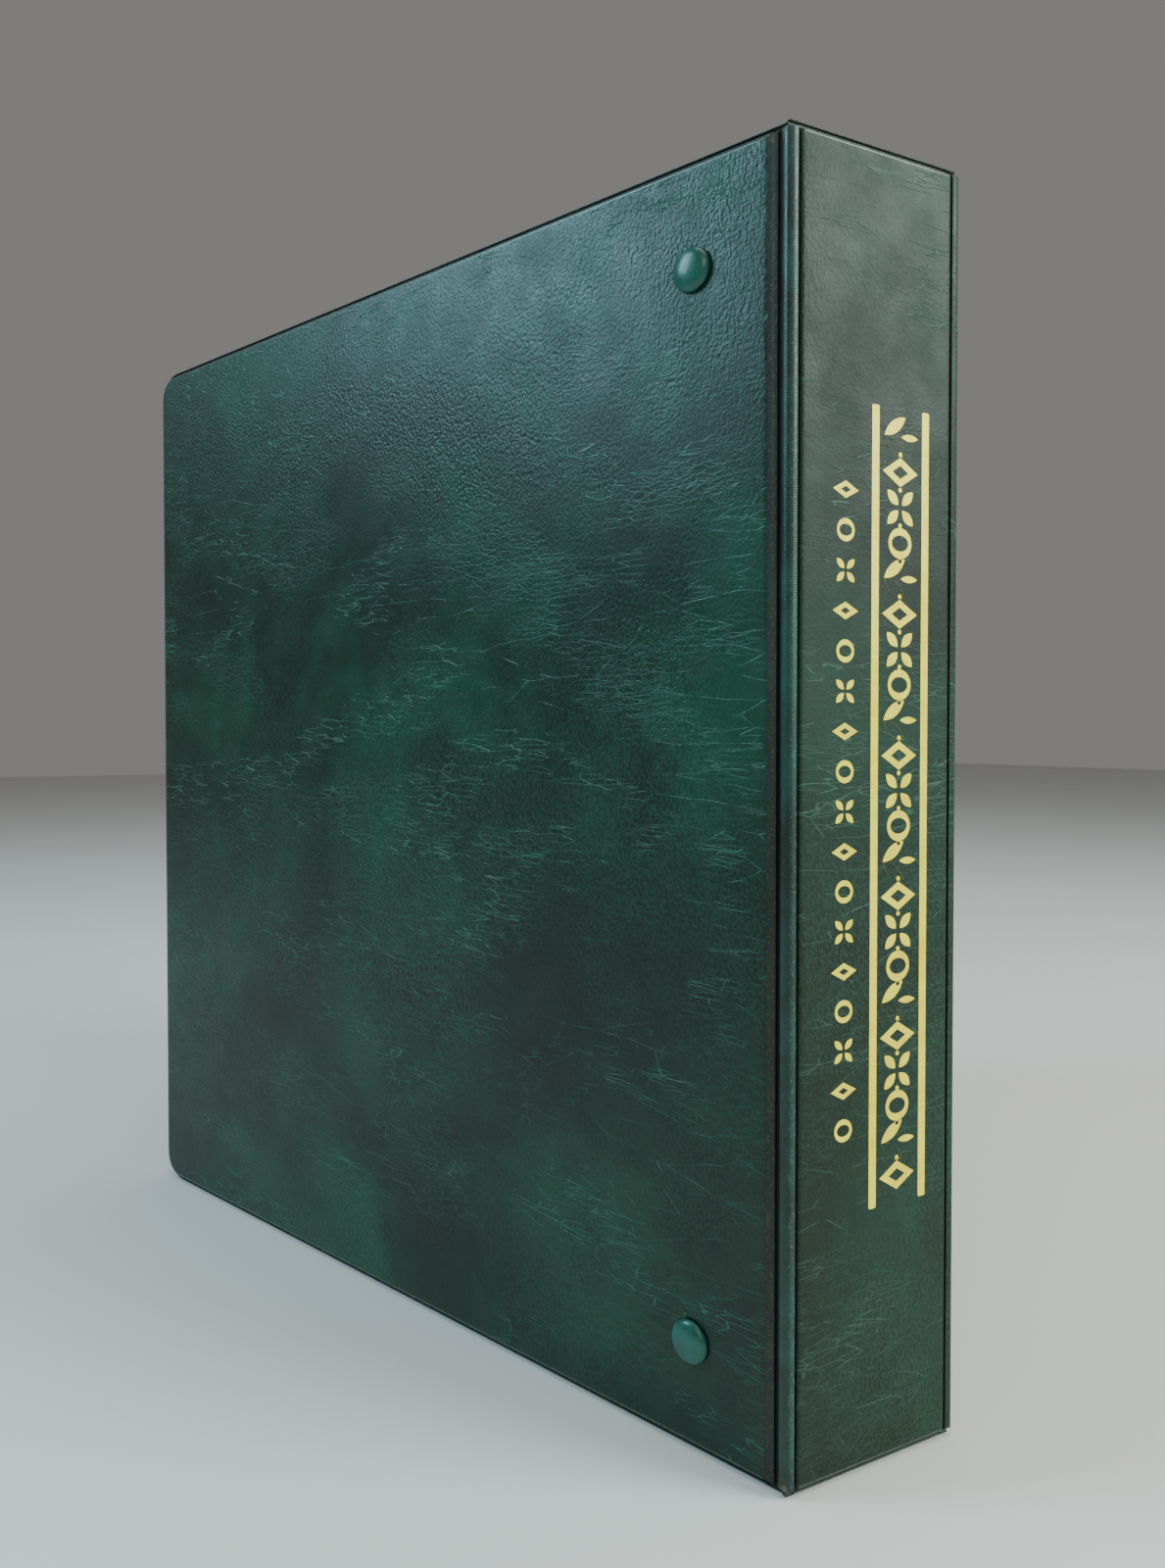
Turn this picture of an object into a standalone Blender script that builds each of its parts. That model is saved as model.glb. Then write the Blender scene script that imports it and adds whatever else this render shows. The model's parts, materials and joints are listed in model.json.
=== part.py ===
"""Three-ring stamp album standing on its end. Metres, +Z up.

The spine's outer face looks along -Y and both covers reach towards +Y, each splayed a little outwards. The back
cover, at -X, carries the ring mechanism and the leaves. The origin is the middle of the album's footprint.

Each cover is modelled in its own frame: the origin on its hinge axis, +Y along the cover, Z up. Pieces of the ring
mechanism and the leaves use (across, rise): across from the mechanism's middle towards the fore-edge, and rise
from the back cover's lining.
"""

import math
from collections import namedtuple

import bmesh
import bpy
from mathutils import Vector

MM = 0.001

# Overall sizes
ALBUM_HEIGHT = 292 * MM
COVER_WIDTH = 270 * MM  # from the spine's outer face to the fore-edge
SPINE_WIDTH = 49 * MM
COVER_SPLAY = math.radians(18)  # how far each cover stands open from square

# Covers and spine: a board between two vinyl sheets, welded together along the rim
BOARD_THICKNESS = 2.4 * MM
BOARD_GAP = 0.3 * MM
VINYL_THICKNESS = 0.5 * MM
RIM_WIDTH = 1.6 * MM
RIM_SHEET = 0.45 * MM
WELD_GAP = 0.3 * MM
EDGE_ROUNDING = 1.0 * MM
ROUNDING_BEND = 0.3  # where the rounding's middle point lies, as a share of it
FORE_EDGE_CORNER = 9 * MM
HINGE_CORNER = 2.2 * MM
SMALLEST_CORNER = 0.25 * MM
CORNER_STEPS = 5

# Hinge bead
BEAD_CLEARANCE = 0.35 * MM
ROUND_STEPS = 24

# Rivets
RIVET_FROM_SPINE = 27 * MM  # from the spine's outer face, with the cover square to it
RIVET_FROM_END = 25 * MM
RIVET_HEAD_RADIUS = 5 * MM
RIVET_HEAD_HEIGHT = 2.2 * MM
RIVET_SHANK_RADIUS = 1.9 * MM
RIVET_HOLE_CLEARANCE = 0.4 * MM
SEAT_GAP = 0.25 * MM
BURR_RADIUS = 3.6 * MM
BURR_HEIGHT = 1.0 * MM
DOME_STEPS = 5
DOME_TOP = 0.4  # the flat middle of a rivet's head, as a share of the first step

# Ring mechanism
HOUSING_HALF_WIDTH = 15 * MM
HOUSING_HEIGHT = 7 * MM
HOUSING_LEG = 3.5 * MM
HOUSING_SHEET = 0.9 * MM
HOUSING_FROM_END = 15 * MM
BLADE_THICKNESS = 1.0 * MM
BLADE_RISE = 2.3 * MM
BLADE_FROM_END = 31 * MM
BLADE_PIVOT_FROM_LEG = 0.9 * MM
BLADE_MIDDLE_GAP = 0.35 * MM
RING_SPACING = 108 * MM  # the standard three-hole punching
RING_COUNT = 3
RING_WIRE_RADIUS = 1.8 * MM
RING_CURVE_RADIUS = 14 * MM
RING_CURVE_RISE = 20 * MM
RING_POST_ACROSS = 10.5 * MM
TIP_GAP = 0.7 * MM
RING_FOOT_GAP = 0.3 * MM
RING_FOOT = 2.5 * MM  # the upright stretch that stands on the blade
SLOT_CLEARANCE = 0.8 * MM
ARC_STEP = math.radians(11)

# Opening levers
LEVER_LENGTH = 15 * MM
LEVER_LEAN = math.radians(22)
LEVER_SHEET = 1.3 * MM
LEVER_HALF_WIDTH = 8 * MM
LEVER_HUB_RADIUS = 1.6 * MM
LEVER_PIN_RADIUS = 0.8 * MM
LEVER_PIN_RISE = 2.2 * MM
LEVER_PIN_FROM_END = 2.0 * MM
RUNNING_CLEARANCE = 0.3 * MM

# Leaves
LEAF_FROM_END = 6.3 * MM  # leaves end this far below the covers' ends
LEAF_SHORTER = 54 * MM  # how much narrower leaves are than a cover
LEAF_MARGIN = 12 * MM  # from the middle of a hole to the binding edge
LEAF_HOLE_RADIUS = 4 * MM
LEAF_HOLE_OFFSET = 1.2 * MM  # leaves sit against the inner side of the wire
TURNING_PACK = 3 * MM
PACK_GAP = 0.3 * MM
TITLE_THICKNESS = 0.4 * MM
LIFTER_THICKNESS = 0.8 * MM
LIFTER_WIDTH = 95 * MM
TURNING_PACKS = ("lower_leaf_pack", "middle_leaf_pack", "upper_leaf_pack")

# Worked out from the sizes above
HALF_THICKNESS = BOARD_THICKNESS / 2 + BOARD_GAP + VINYL_THICKNESS
BEAD_RADIUS = HALF_THICKNESS
PANEL_START = BEAD_RADIUS + BEAD_CLEARANCE
AXIS_SPACING = SPINE_WIDTH - 2 * HALF_THICKNESS
COVER_END = COVER_WIDTH - HALF_THICKNESS
MIDDLE_Z = ALBUM_HEIGHT / 2
RIVET_SPACING = ALBUM_HEIGHT - 2 * RIVET_FROM_END
HOUSING_LENGTH = ALBUM_HEIGHT - 2 * HOUSING_FROM_END
BLADE_LENGTH = ALBUM_HEIGHT - 2 * BLADE_FROM_END
LEAF_WIDTH = COVER_WIDTH - LEAF_SHORTER
LEAF_HEIGHT = ALBUM_HEIGHT - 2 * LEAF_FROM_END
MECHANISM_Y = RIVET_FROM_SPINE - HALF_THICKNESS
RING_HEIGHTS = [MIDDLE_Z + (i - (RING_COUNT - 1) / 2) * RING_SPACING for i in range(RING_COUNT)]
RING_CENTRE_ACROSS = RING_POST_ACROSS - RING_CURVE_RADIUS
BLADE_PIVOT_ACROSS = HOUSING_HALF_WIDTH - HOUSING_SHEET - BLADE_PIVOT_FROM_LEG
RING_FOOT_RISE = BLADE_RISE + BLADE_THICKNESS / 2 + RING_FOOT_GAP
RIM_TOP = WELD_GAP / 2 + RIM_SHEET
BURR_TOP = HOUSING_HEIGHT + SEAT_GAP + BURR_HEIGHT
HIGH_WORD = {0: "lower", 1: "middle", 2: "upper"}

Panel = namedtuple("Panel", "start end end_corner along outward")
BACK_PANEL = Panel(PANEL_START, COVER_END, FORE_EDGE_CORNER, Vector((0, 1, 0)), Vector((-1, 0, 0)))
FRONT_PANEL = Panel(PANEL_START, COVER_END, FORE_EDGE_CORNER, Vector((0, 1, 0)), Vector((1, 0, 0)))
SPINE_PANEL = Panel(
    PANEL_START, AXIS_SPACING - PANEL_START, HINGE_CORNER, Vector((1, 0, 0)), Vector((0, -1, 0))
)


# Scene helpers


def clear_scene():
    for old in list(bpy.data.objects):
        bpy.data.objects.remove(old, do_unlink=True)


def make_material(name, colour, roughness, metallic=0.0):
    material = bpy.data.materials.new(name)
    material.use_nodes = True
    shader = material.node_tree.nodes["Principled BSDF"]
    shader.inputs["Base Color"].default_value = (*colour, 1.0)
    shader.inputs["Roughness"].default_value = roughness
    shader.inputs["Metallic"].default_value = metallic
    return material


def make_pivot(name, parent, place=(0, 0, 0), turn=0.0):
    """An empty on a joint's axis, turned about Z by the joint's angle at rest."""
    empty = bpy.data.objects.new(name, None)
    bpy.context.collection.objects.link(empty)
    empty.parent = parent
    empty.location = place
    empty.rotation_euler.z = turn
    return empty


def link_piece(name, data, material, pivot, offset=(0, 0, 0)):
    """Adds a piece drawn in its cover's frame; offset is the pivot's place in that frame."""
    piece = bpy.data.objects.new(name, data)
    bpy.context.collection.objects.link(piece)
    piece.parent = pivot
    piece.location = -Vector(offset)
    data.materials.append(material)
    return piece


def add_cut(piece, cutter_mesh):
    """Cuts a mesh drawn in the same frame out of a piece."""
    cutter = bpy.data.objects.new(piece.name + "_cutter", cutter_mesh)
    bpy.context.collection.objects.link(cutter)
    cutter.parent = piece.parent
    cutter.location = piece.location
    cutter.hide_render = True
    cutter.display_type = "WIRE"
    cut = piece.modifiers.new("holes", "BOOLEAN")
    cut.operation = "DIFFERENCE"
    cut.solver = "EXACT"
    cut.object = cutter


# Shape helpers


def mesh_of(bm, name):
    bmesh.ops.recalc_face_normals(bm, faces=bm.faces)
    mesh = bpy.data.meshes.new(name)
    bm.to_mesh(mesh)
    bm.free()
    return mesh


def add_loft(bm, rings, closed=False):
    """Joins rings of equal length into one skin, capped at both ends unless it closes on itself."""
    rows = [[bm.verts.new(point) for point in ring] for ring in rings]
    pairs = list(zip(rows, rows[1:]))
    if closed:
        pairs.append((rows[-1], rows[0]))
    else:
        bm.faces.new(rows[0])
        bm.faces.new(rows[-1])
    count = len(rows[0])
    for low, high in pairs:
        for i in range(count):
            j = (i + 1) % count
            bm.faces.new((low[i], low[j], high[j], high[i]))


def loft_mesh(name, rings, closed=False):
    bm = bmesh.new()
    add_loft(bm, rings, closed)
    return mesh_of(bm, name)


def circle(centre, radius, axis, steps=ROUND_STEPS):
    """Points round an axis, which is a unit vector along X, Y or Z."""
    first = Vector((axis.y, axis.z, axis.x))
    second = axis.cross(first)
    angles = [2 * math.pi * i / steps for i in range(steps)]
    return [centre + radius * (math.cos(a) * first + math.sin(a) * second) for a in angles]


def arc_angles(start, end):
    steps = max(1, math.ceil(abs(end - start) / ARC_STEP))
    return [start + (end - start) * i / steps for i in range(steps + 1)]


def add_rod(bm, start, end, radius, steps=ROUND_STEPS):
    axis = (end - start).normalized()
    add_loft(bm, [circle(start, radius, axis, steps), circle(end, radius, axis, steps)])


def rod_mesh(name, start, end, radius):
    bm = bmesh.new()
    add_rod(bm, start, end, radius)
    return mesh_of(bm, name)


def add_box(bm, low, high):
    low_ring = [Vector((x, y, low.z)) for x, y in corners_of(low, high)]
    high_ring = [Vector((x, y, high.z)) for x, y in corners_of(low, high)]
    add_loft(bm, [low_ring, high_ring])


def corners_of(low, high):
    return [(low.x, low.y), (high.x, low.y), (high.x, high.y), (low.x, high.y)]


# Covers and spine


def panel_outline(panel, inset):
    """A rounded rectangle in (along, up), stepped in from the panel's rim."""
    low_a = panel.start + inset
    high_a = panel.end - inset
    high_z = ALBUM_HEIGHT - inset
    near = max(HINGE_CORNER - inset, SMALLEST_CORNER)
    far = max(panel.end_corner - inset, SMALLEST_CORNER)
    corners = (
        (high_a - far, inset + far, far, -90),
        (high_a - far, high_z - far, far, 0),
        (low_a + near, high_z - near, near, 90),
        (low_a + near, inset + near, near, 180),
    )
    points = []
    for along, up, radius, start in corners:
        for i in range(CORNER_STEPS + 1):
            angle = math.radians(start + 90 * i / CORNER_STEPS)
            points.append((along + radius * math.cos(angle), up + radius * math.sin(angle)))
    return points


def panel_ring(panel, inset, depth):
    """The outline at a depth from the weld plane, positive towards the outer face."""
    return [
        panel.along * along + panel.outward * depth + Vector((0, 0, up))
        for along, up in panel_outline(panel, inset)
    ]


def vinyl_mesh(name, panel, side):
    """One vinyl sheet drawn over the board: a tray with a flat welded rim. side is 1 outside and -1 inside."""
    top = HALF_THICKNESS
    wall = RIM_WIDTH
    pocket = wall + VINYL_THICKNESS
    profile = (
        (pocket, top - VINYL_THICKNESS),
        (pocket, WELD_GAP / 2),
        (0.0, WELD_GAP / 2),
        (0.0, RIM_TOP),
        (wall, RIM_TOP),
        (wall, top - EDGE_ROUNDING),
        (wall + ROUNDING_BEND * EDGE_ROUNDING, top - ROUNDING_BEND * EDGE_ROUNDING),
        (wall + EDGE_ROUNDING, top),
    )
    return loft_mesh(name, [panel_ring(panel, inset, side * depth) for inset, depth in profile])


def board_mesh(name, panel):
    inset = RIM_WIDTH + VINYL_THICKNESS + BOARD_GAP
    half = BOARD_THICKNESS / 2
    return loft_mesh(name, [panel_ring(panel, inset, -half), panel_ring(panel, inset, half)])


def build_panel(prefix, panel, pivot, materials):
    """Outer skin, board and lining of one panel."""
    vinyl, board = materials["leatherette"], materials["board"]
    lining = materials["lining"]
    return [
        link_piece(prefix + "_skin", vinyl_mesh(prefix + "_skin", panel, 1), vinyl, pivot),
        link_piece(prefix + "_board", board_mesh(prefix + "_board", panel), board, pivot),
        link_piece(prefix + "_lining", vinyl_mesh(prefix + "_lining", panel, -1), lining, pivot),
    ]


def build_bead(name, x, pivot, material):
    mesh = rod_mesh(name, Vector((x, 0, 0)), Vector((x, 0, ALBUM_HEIGHT)), BEAD_RADIUS)
    link_piece(name, mesh, material, pivot)


# Ring mechanism, in the back cover's frame


def mechanism_point(across, rise, z):
    return Vector((HALF_THICKNESS + rise, MECHANISM_Y + across, z))


def section_mesh(name, outline, low_z, high_z):
    """A prism from an outline in (across, rise)."""
    return loft_mesh(name, [[mechanism_point(a, r, z) for a, r in outline] for z in (low_z, high_z)])


def housing_rise(across, inset=0.0):
    """Height of the housing's arch over its middle line, stepped in by a sheet's thickness."""
    rise = HOUSING_HEIGHT - HOUSING_LEG
    radius = (HOUSING_HALF_WIDTH**2 + rise**2) / (2 * rise)
    return HOUSING_HEIGHT - inset - (radius - math.sqrt(radius**2 - across**2))


def housing_outline():
    steps = 8
    outer, inner = [], []
    for i in range(steps + 1):
        share = 2 * i / steps - 1
        outer_across = share * HOUSING_HALF_WIDTH
        inner_across = share * (HOUSING_HALF_WIDTH - HOUSING_SHEET)
        outer.append((outer_across, housing_rise(outer_across)))
        inner.append((inner_across, housing_rise(inner_across, HOUSING_SHEET)))
    left, right = outer[0][0], outer[-1][0]
    feet_out = [(right, SEAT_GAP)]
    feet_in = [(right - HOUSING_SHEET, SEAT_GAP)]
    return [(left, SEAT_GAP), *outer, *feet_out, *feet_in, *reversed(inner), (left + HOUSING_SHEET, SEAT_GAP)]


def slot_box(bm, side, z):
    """The slot in the housing that a ring half moves through."""
    reach = RING_WIRE_RADIUS + SLOT_CLEARANCE
    inner = RING_POST_ACROSS - reach
    outer = RING_POST_ACROSS + reach + SLOT_CLEARANCE
    low_a, high_a = sorted((side * inner, side * outer))
    low = mechanism_point(low_a, BLADE_RISE + BLADE_THICKNESS, z - reach)
    high = mechanism_point(high_a, HOUSING_HEIGHT + SEAT_GAP, z + reach)
    add_box(bm, low, high)


def rivet_heights():
    return {"lower": MIDDLE_Z - RIVET_SPACING / 2, "upper": MIDDLE_Z + RIVET_SPACING / 2}


def rivet_hole_mesh(name, low_rise, high_rise):
    bm = bmesh.new()
    radius = RIVET_SHANK_RADIUS + RIVET_HOLE_CLEARANCE
    for z in rivet_heights().values():
        add_rod(bm, mechanism_point(0, low_rise, z), mechanism_point(0, high_rise, z), radius)
    return mesh_of(bm, name)


def build_housing(pivot, material):
    low_z, high_z = MIDDLE_Z - HOUSING_LENGTH / 2, MIDDLE_Z + HOUSING_LENGTH / 2
    mesh = section_mesh("ring_housing", housing_outline(), low_z, high_z)
    housing = link_piece("ring_housing", mesh, material, pivot)
    bm = bmesh.new()
    for z in RING_HEIGHTS:
        for side in (-1, 1):
            slot_box(bm, side, z)
    radius = RIVET_SHANK_RADIUS + RIVET_HOLE_CLEARANCE
    for z in rivet_heights().values():
        add_rod(bm, mechanism_point(0, HOUSING_LEG, z), mechanism_point(0, BURR_TOP, z), radius)
    add_cut(housing, mesh_of(bm, "housing_holes"))


def turned_rings(profile, z):
    """Rings round a rivet's axis from (radius, rise) pairs."""
    return [circle(mechanism_point(0, rise, z), radius, Vector((1, 0, 0))) for radius, rise in profile]


def rivet_profile():
    """From the middle of the domed head, outside the cover, down to the end of the shank."""
    seat = -2 * HALF_THICKNESS - SEAT_GAP
    profile = []
    for i in range(DOME_STEPS):
        angle = math.radians(90) * (i + DOME_TOP) / DOME_STEPS
        profile.append(
            (RIVET_HEAD_RADIUS * math.sin(angle), seat - RIVET_HEAD_HEIGHT * math.cos(angle))
        )
    profile.append((RIVET_HEAD_RADIUS, seat))
    profile.append((RIVET_SHANK_RADIUS, seat))
    profile.append((RIVET_SHANK_RADIUS, BURR_TOP + SEAT_GAP))
    return profile


def build_rivets(pivot, head_material, steel):
    hole = RIVET_SHANK_RADIUS + RUNNING_CLEARANCE
    burr_low = HOUSING_HEIGHT + SEAT_GAP
    burr = ((hole, burr_low), (BURR_RADIUS, burr_low), (BURR_RADIUS, BURR_TOP), (hole, BURR_TOP))
    for word, z in rivet_heights().items():
        head = loft_mesh(word + "_rivet", turned_rings(rivet_profile(), z))
        link_piece(word + "_rivet", head, head_material, pivot)
        ring = loft_mesh(word + "_rivet_burr", turned_rings(burr, z), closed=True)
        link_piece(word + "_rivet_burr", ring, steel, pivot)


def blade_outline(side):
    inner = side * BLADE_MIDDLE_GAP
    outer = side * (BLADE_PIVOT_ACROSS + BLADE_THICKNESS / 2)
    low = BLADE_RISE - BLADE_THICKNESS / 2
    high = BLADE_RISE + BLADE_THICKNESS / 2
    return [(inner, low), (outer, low), (outer, high), (inner, high)]


def tangent_angle():
    """Where the straight foot of the curved ring half meets its round part, as an angle about the curve's centre."""
    across = -RING_POST_ACROSS - RING_CENTRE_ACROSS
    rise = RING_FOOT_RISE + RING_FOOT - RING_CURVE_RISE
    to_foot = math.atan2(rise, across) % (2 * math.pi)
    return to_foot - math.acos(RING_CURVE_RADIUS / math.hypot(across, rise))


def split_angle():
    """The ring halves meet over the middle of the mechanism."""
    return math.acos(-RING_CENTRE_ACROSS / RING_CURVE_RADIUS)


def ring_path(side):
    """Middle line of a ring half in (across, rise): 1 is the straight post, -1 the curved half."""
    across = side * RING_POST_ACROSS
    foot = [(across, RING_FOOT_RISE), (across, RING_FOOT_RISE + RING_FOOT)]
    half_gap = TIP_GAP / (2 * RING_CURVE_RADIUS)
    if side > 0:
        angles = arc_angles(0.0, split_angle() - half_gap)
    else:
        angles = arc_angles(tangent_angle(), split_angle() + half_gap)
    curve = [
        (
            RING_CENTRE_ACROSS + RING_CURVE_RADIUS * math.cos(angle),
            RING_CURVE_RISE + RING_CURVE_RADIUS * math.sin(angle),
        )
        for angle in angles
    ]
    return foot + curve


def ring_curve(name, side, z):
    curve = bpy.data.curves.new(name, "CURVE")
    curve.dimensions = "3D"
    curve.bevel_depth = RING_WIRE_RADIUS
    curve.bevel_resolution = 3
    curve.use_fill_caps = True
    path = [mechanism_point(across, rise, z) for across, rise in ring_path(side)]
    spline = curve.splines.new("POLY")
    spline.points.add(len(path) - 1)
    for point, place in zip(spline.points, path):
        point.co = (*place, 1.0)
    return curve


def build_ring_side(side, word, back, steel, wire):
    """A carrier blade and its three ring halves, which turn together."""
    place = mechanism_point(side * BLADE_PIVOT_ACROSS, BLADE_RISE, 0)
    pivot = make_pivot(word + "_side_pivot", back, place)
    low_z, high_z = MIDDLE_Z - BLADE_LENGTH / 2, MIDDLE_Z + BLADE_LENGTH / 2
    mesh = section_mesh(word + "_blade", blade_outline(side), low_z, high_z)
    link_piece(word + "_blade", mesh, steel, pivot, place)
    for i, z in enumerate(RING_HEIGHTS):
        name = f"{HIGH_WORD[i]}_ring_{word}_half"
        link_piece(name, ring_curve(name, side, z), wire, pivot, place)


# Opening levers


def lever_outline():
    """Side view of a lever in (outwards, rise) about its pin: a round hub and a leaning thumb tab."""
    half = LEVER_SHEET / 2
    root = math.asin(half / LEVER_HUB_RADIUS)
    angles = arc_angles(LEVER_LEAN + root, LEVER_LEAN + 2 * math.pi - root)
    points = [(LEVER_HUB_RADIUS * math.cos(a), LEVER_HUB_RADIUS * math.sin(a)) for a in angles]
    along = Vector((math.cos(LEVER_LEAN), math.sin(LEVER_LEAN)))
    up = Vector((-along.y, along.x))
    for angle in arc_angles(-math.pi / 2, math.pi / 2):
        tip = along * (LEVER_LENGTH - half + half * math.cos(angle)) + up * half * math.sin(angle)
        points.append((tip.x, tip.y))
    return points


def build_lever(word, direction, back, steel):
    """direction is 1 at the upper end of the housing and -1 at the lower end."""
    z = MIDDLE_Z + direction * (HOUSING_LENGTH / 2 - LEVER_PIN_FROM_END)
    place = mechanism_point(0, LEVER_PIN_RISE, z)
    pivot = make_pivot(word + "_lever_pivot", back, place)
    rings = [
        [
            mechanism_point(across, LEVER_PIN_RISE + rise, z + direction * out)
            for out, rise in lever_outline()
        ]
        for across in (-LEVER_HALF_WIDTH, LEVER_HALF_WIDTH)
    ]
    lever = link_piece(word + "_lever", loft_mesh(word + "_lever", rings), steel, pivot, place)
    cut_reach = Vector((0, 2 * LEVER_HALF_WIDTH, 0))
    bore = LEVER_PIN_RADIUS + RUNNING_CLEARANCE
    add_cut(lever, rod_mesh(word + "_lever_bore", place - cut_reach, place + cut_reach, bore))
    pin_reach = Vector((0, HOUSING_HALF_WIDTH - HOUSING_SHEET - RUNNING_CLEARANCE, 0))
    pin = rod_mesh(word + "_lever_pin", place - pin_reach, place + pin_reach, LEVER_PIN_RADIUS)
    link_piece(word + "_lever_pin", pin, steel, back)


# Leaves, lying square to the rings when the album is shut


def build_sheet(name, low_rise, thickness, width, share, back, material):
    """A punched sheet or pack. share is how much of the cover's turn it gives back by swinging on the rings."""
    middle = low_rise + thickness / 2
    if share:
        offset = middle - RING_CURVE_RISE
        wire = RING_CENTRE_ACROSS + math.sqrt(RING_CURVE_RADIUS**2 - offset**2)
    else:
        wire = RING_POST_ACROSS
    hole = wire + LEAF_HOLE_OFFSET
    binding = hole - LEAF_MARGIN
    place = mechanism_point(RING_CENTRE_ACROSS, RING_CURVE_RISE, 0)
    pivot = make_pivot(name + "_pivot", back, place, -share * COVER_SPLAY)
    low_z = (ALBUM_HEIGHT - LEAF_HEIGHT) / 2
    outline = [
        (binding, low_rise),
        (binding + width, low_rise),
        (binding + width, low_rise + thickness),
        (binding, low_rise + thickness),
    ]
    mesh = section_mesh(name, outline, low_z, low_z + LEAF_HEIGHT)
    sheet = link_piece(name, mesh, material, pivot, place)
    bm = bmesh.new()
    for z in RING_HEIGHTS:
        start = mechanism_point(hole, low_rise - thickness, z)
        end = mechanism_point(hole, low_rise + 2 * thickness, z)
        add_rod(bm, start, end, LEAF_HOLE_RADIUS)
    add_cut(sheet, mesh_of(bm, name + "_holes"))


def build_leaves(back, materials):
    paper, plastic = materials["paper"], materials["lifter"]
    rise = RING_CURVE_RISE - len(TURNING_PACKS) / 2 * TURNING_PACK - PACK_GAP
    lifter_low = BURR_TOP + SEAT_GAP + PACK_GAP
    rear_low = lifter_low + LIFTER_THICKNESS + PACK_GAP
    rear_pack = rise - PACK_GAP - rear_low
    build_sheet("rear_sheet_lifter", lifter_low, LIFTER_THICKNESS, LIFTER_WIDTH, 0, back, plastic)
    build_sheet("rear_leaf_pack", rear_low, rear_pack, LEAF_WIDTH, 0, back, paper)
    for i, name in enumerate(TURNING_PACKS):
        share = (i + 1) / len(TURNING_PACKS)
        build_sheet(name, rise, TURNING_PACK, LEAF_WIDTH, share, back, paper)
        rise += TURNING_PACK + PACK_GAP
    build_sheet("title_leaf", rise, TITLE_THICKNESS, LEAF_WIDTH, 1, back, paper)
    rise += TITLE_THICKNESS + PACK_GAP
    build_sheet("front_sheet_lifter", rise, LIFTER_THICKNESS, LIFTER_WIDTH, 1, back, plastic)


def make_materials():
    return {
        "leatherette": make_material("leatherette", (0.012, 0.085, 0.055), 0.38),
        "lining": make_material("lining", (0.010, 0.045, 0.032), 0.5),
        "board": make_material("board", (0.36, 0.31, 0.24), 0.9),
        "rivet_paint": make_material("rivet_paint", (0.008, 0.16, 0.12), 0.25),
        "steel": make_material("steel", (0.62, 0.62, 0.64), 0.3, 1.0),
        "ring_wire": make_material("ring_wire", (0.75, 0.75, 0.77), 0.15, 1.0),
        "paper": make_material("paper", (0.88, 0.85, 0.76), 0.8),
        "lifter": make_material("lifter", (0.03, 0.03, 0.032), 0.35),
    }


def footprint_offset():
    """Puts the middle of the footprint at the origin; the back hinge axis is where the album is drawn from."""
    far = COVER_END * math.cos(COVER_SPLAY) + RIM_TOP * math.sin(COVER_SPLAY)
    return Vector((-AXIS_SPACING / 2, (HALF_THICKNESS - far) / 2, 0))


def build_album():
    clear_scene()
    materials = make_materials()
    album = make_pivot("album", None, footprint_offset())
    back = make_pivot("back_cover_pivot", album, (0, 0, 0), COVER_SPLAY)
    front = make_pivot("front_cover_pivot", album, (AXIS_SPACING, 0, 0), -COVER_SPLAY)
    build_panel("spine", SPINE_PANEL, album, materials)
    build_bead("back_hinge_bead", 0.0, album, materials["leatherette"])
    build_bead("front_hinge_bead", AXIS_SPACING, album, materials["leatherette"])
    build_panel("front_cover", FRONT_PANEL, front, materials)
    for piece in build_panel("back_cover", BACK_PANEL, back, materials):
        add_cut(piece, rivet_hole_mesh(piece.name + "_holes", -3 * HALF_THICKNESS, HALF_THICKNESS))
    build_rivets(back, materials["rivet_paint"], materials["steel"])
    build_housing(back, materials["steel"])
    build_ring_side(1, "post", back, materials["steel"], materials["ring_wire"])
    build_ring_side(-1, "curve", back, materials["steel"], materials["ring_wire"])
    build_lever("upper", 1, back, materials["steel"])
    build_lever("lower", -1, back, materials["steel"])
    build_leaves(back, materials)


build_album()
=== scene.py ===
"""Looks for the three-ring stamp album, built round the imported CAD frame. Metres, +Z up.

Covers and spine are drawn in their own frames: along runs from the hinge, up is Z and out points away
from the outer face. The ring mechanism and the leaves use (across, rise, up) in the back cover's frame,
as the CAD does.
"""

import json
import math
import random
from collections import namedtuple

import bmesh
import bpy
from mathutils import Matrix, Vector, noise


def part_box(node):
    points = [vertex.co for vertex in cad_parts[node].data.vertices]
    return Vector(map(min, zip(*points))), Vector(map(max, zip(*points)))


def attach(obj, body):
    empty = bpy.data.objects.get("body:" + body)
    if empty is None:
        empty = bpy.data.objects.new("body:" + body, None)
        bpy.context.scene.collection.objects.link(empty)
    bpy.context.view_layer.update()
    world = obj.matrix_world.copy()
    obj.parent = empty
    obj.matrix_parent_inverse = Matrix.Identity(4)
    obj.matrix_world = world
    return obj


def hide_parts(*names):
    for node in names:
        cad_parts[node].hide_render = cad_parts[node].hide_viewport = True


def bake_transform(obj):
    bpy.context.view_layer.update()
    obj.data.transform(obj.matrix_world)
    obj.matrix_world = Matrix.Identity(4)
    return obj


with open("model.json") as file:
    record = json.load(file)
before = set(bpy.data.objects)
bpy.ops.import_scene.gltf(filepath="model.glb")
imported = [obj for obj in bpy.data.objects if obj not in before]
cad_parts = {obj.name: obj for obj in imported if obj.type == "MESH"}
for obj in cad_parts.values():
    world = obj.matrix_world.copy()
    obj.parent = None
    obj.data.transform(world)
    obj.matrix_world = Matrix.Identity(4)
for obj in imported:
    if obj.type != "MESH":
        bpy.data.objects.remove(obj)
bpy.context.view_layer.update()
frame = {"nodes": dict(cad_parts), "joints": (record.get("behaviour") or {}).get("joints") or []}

MM = 0.001

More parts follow.
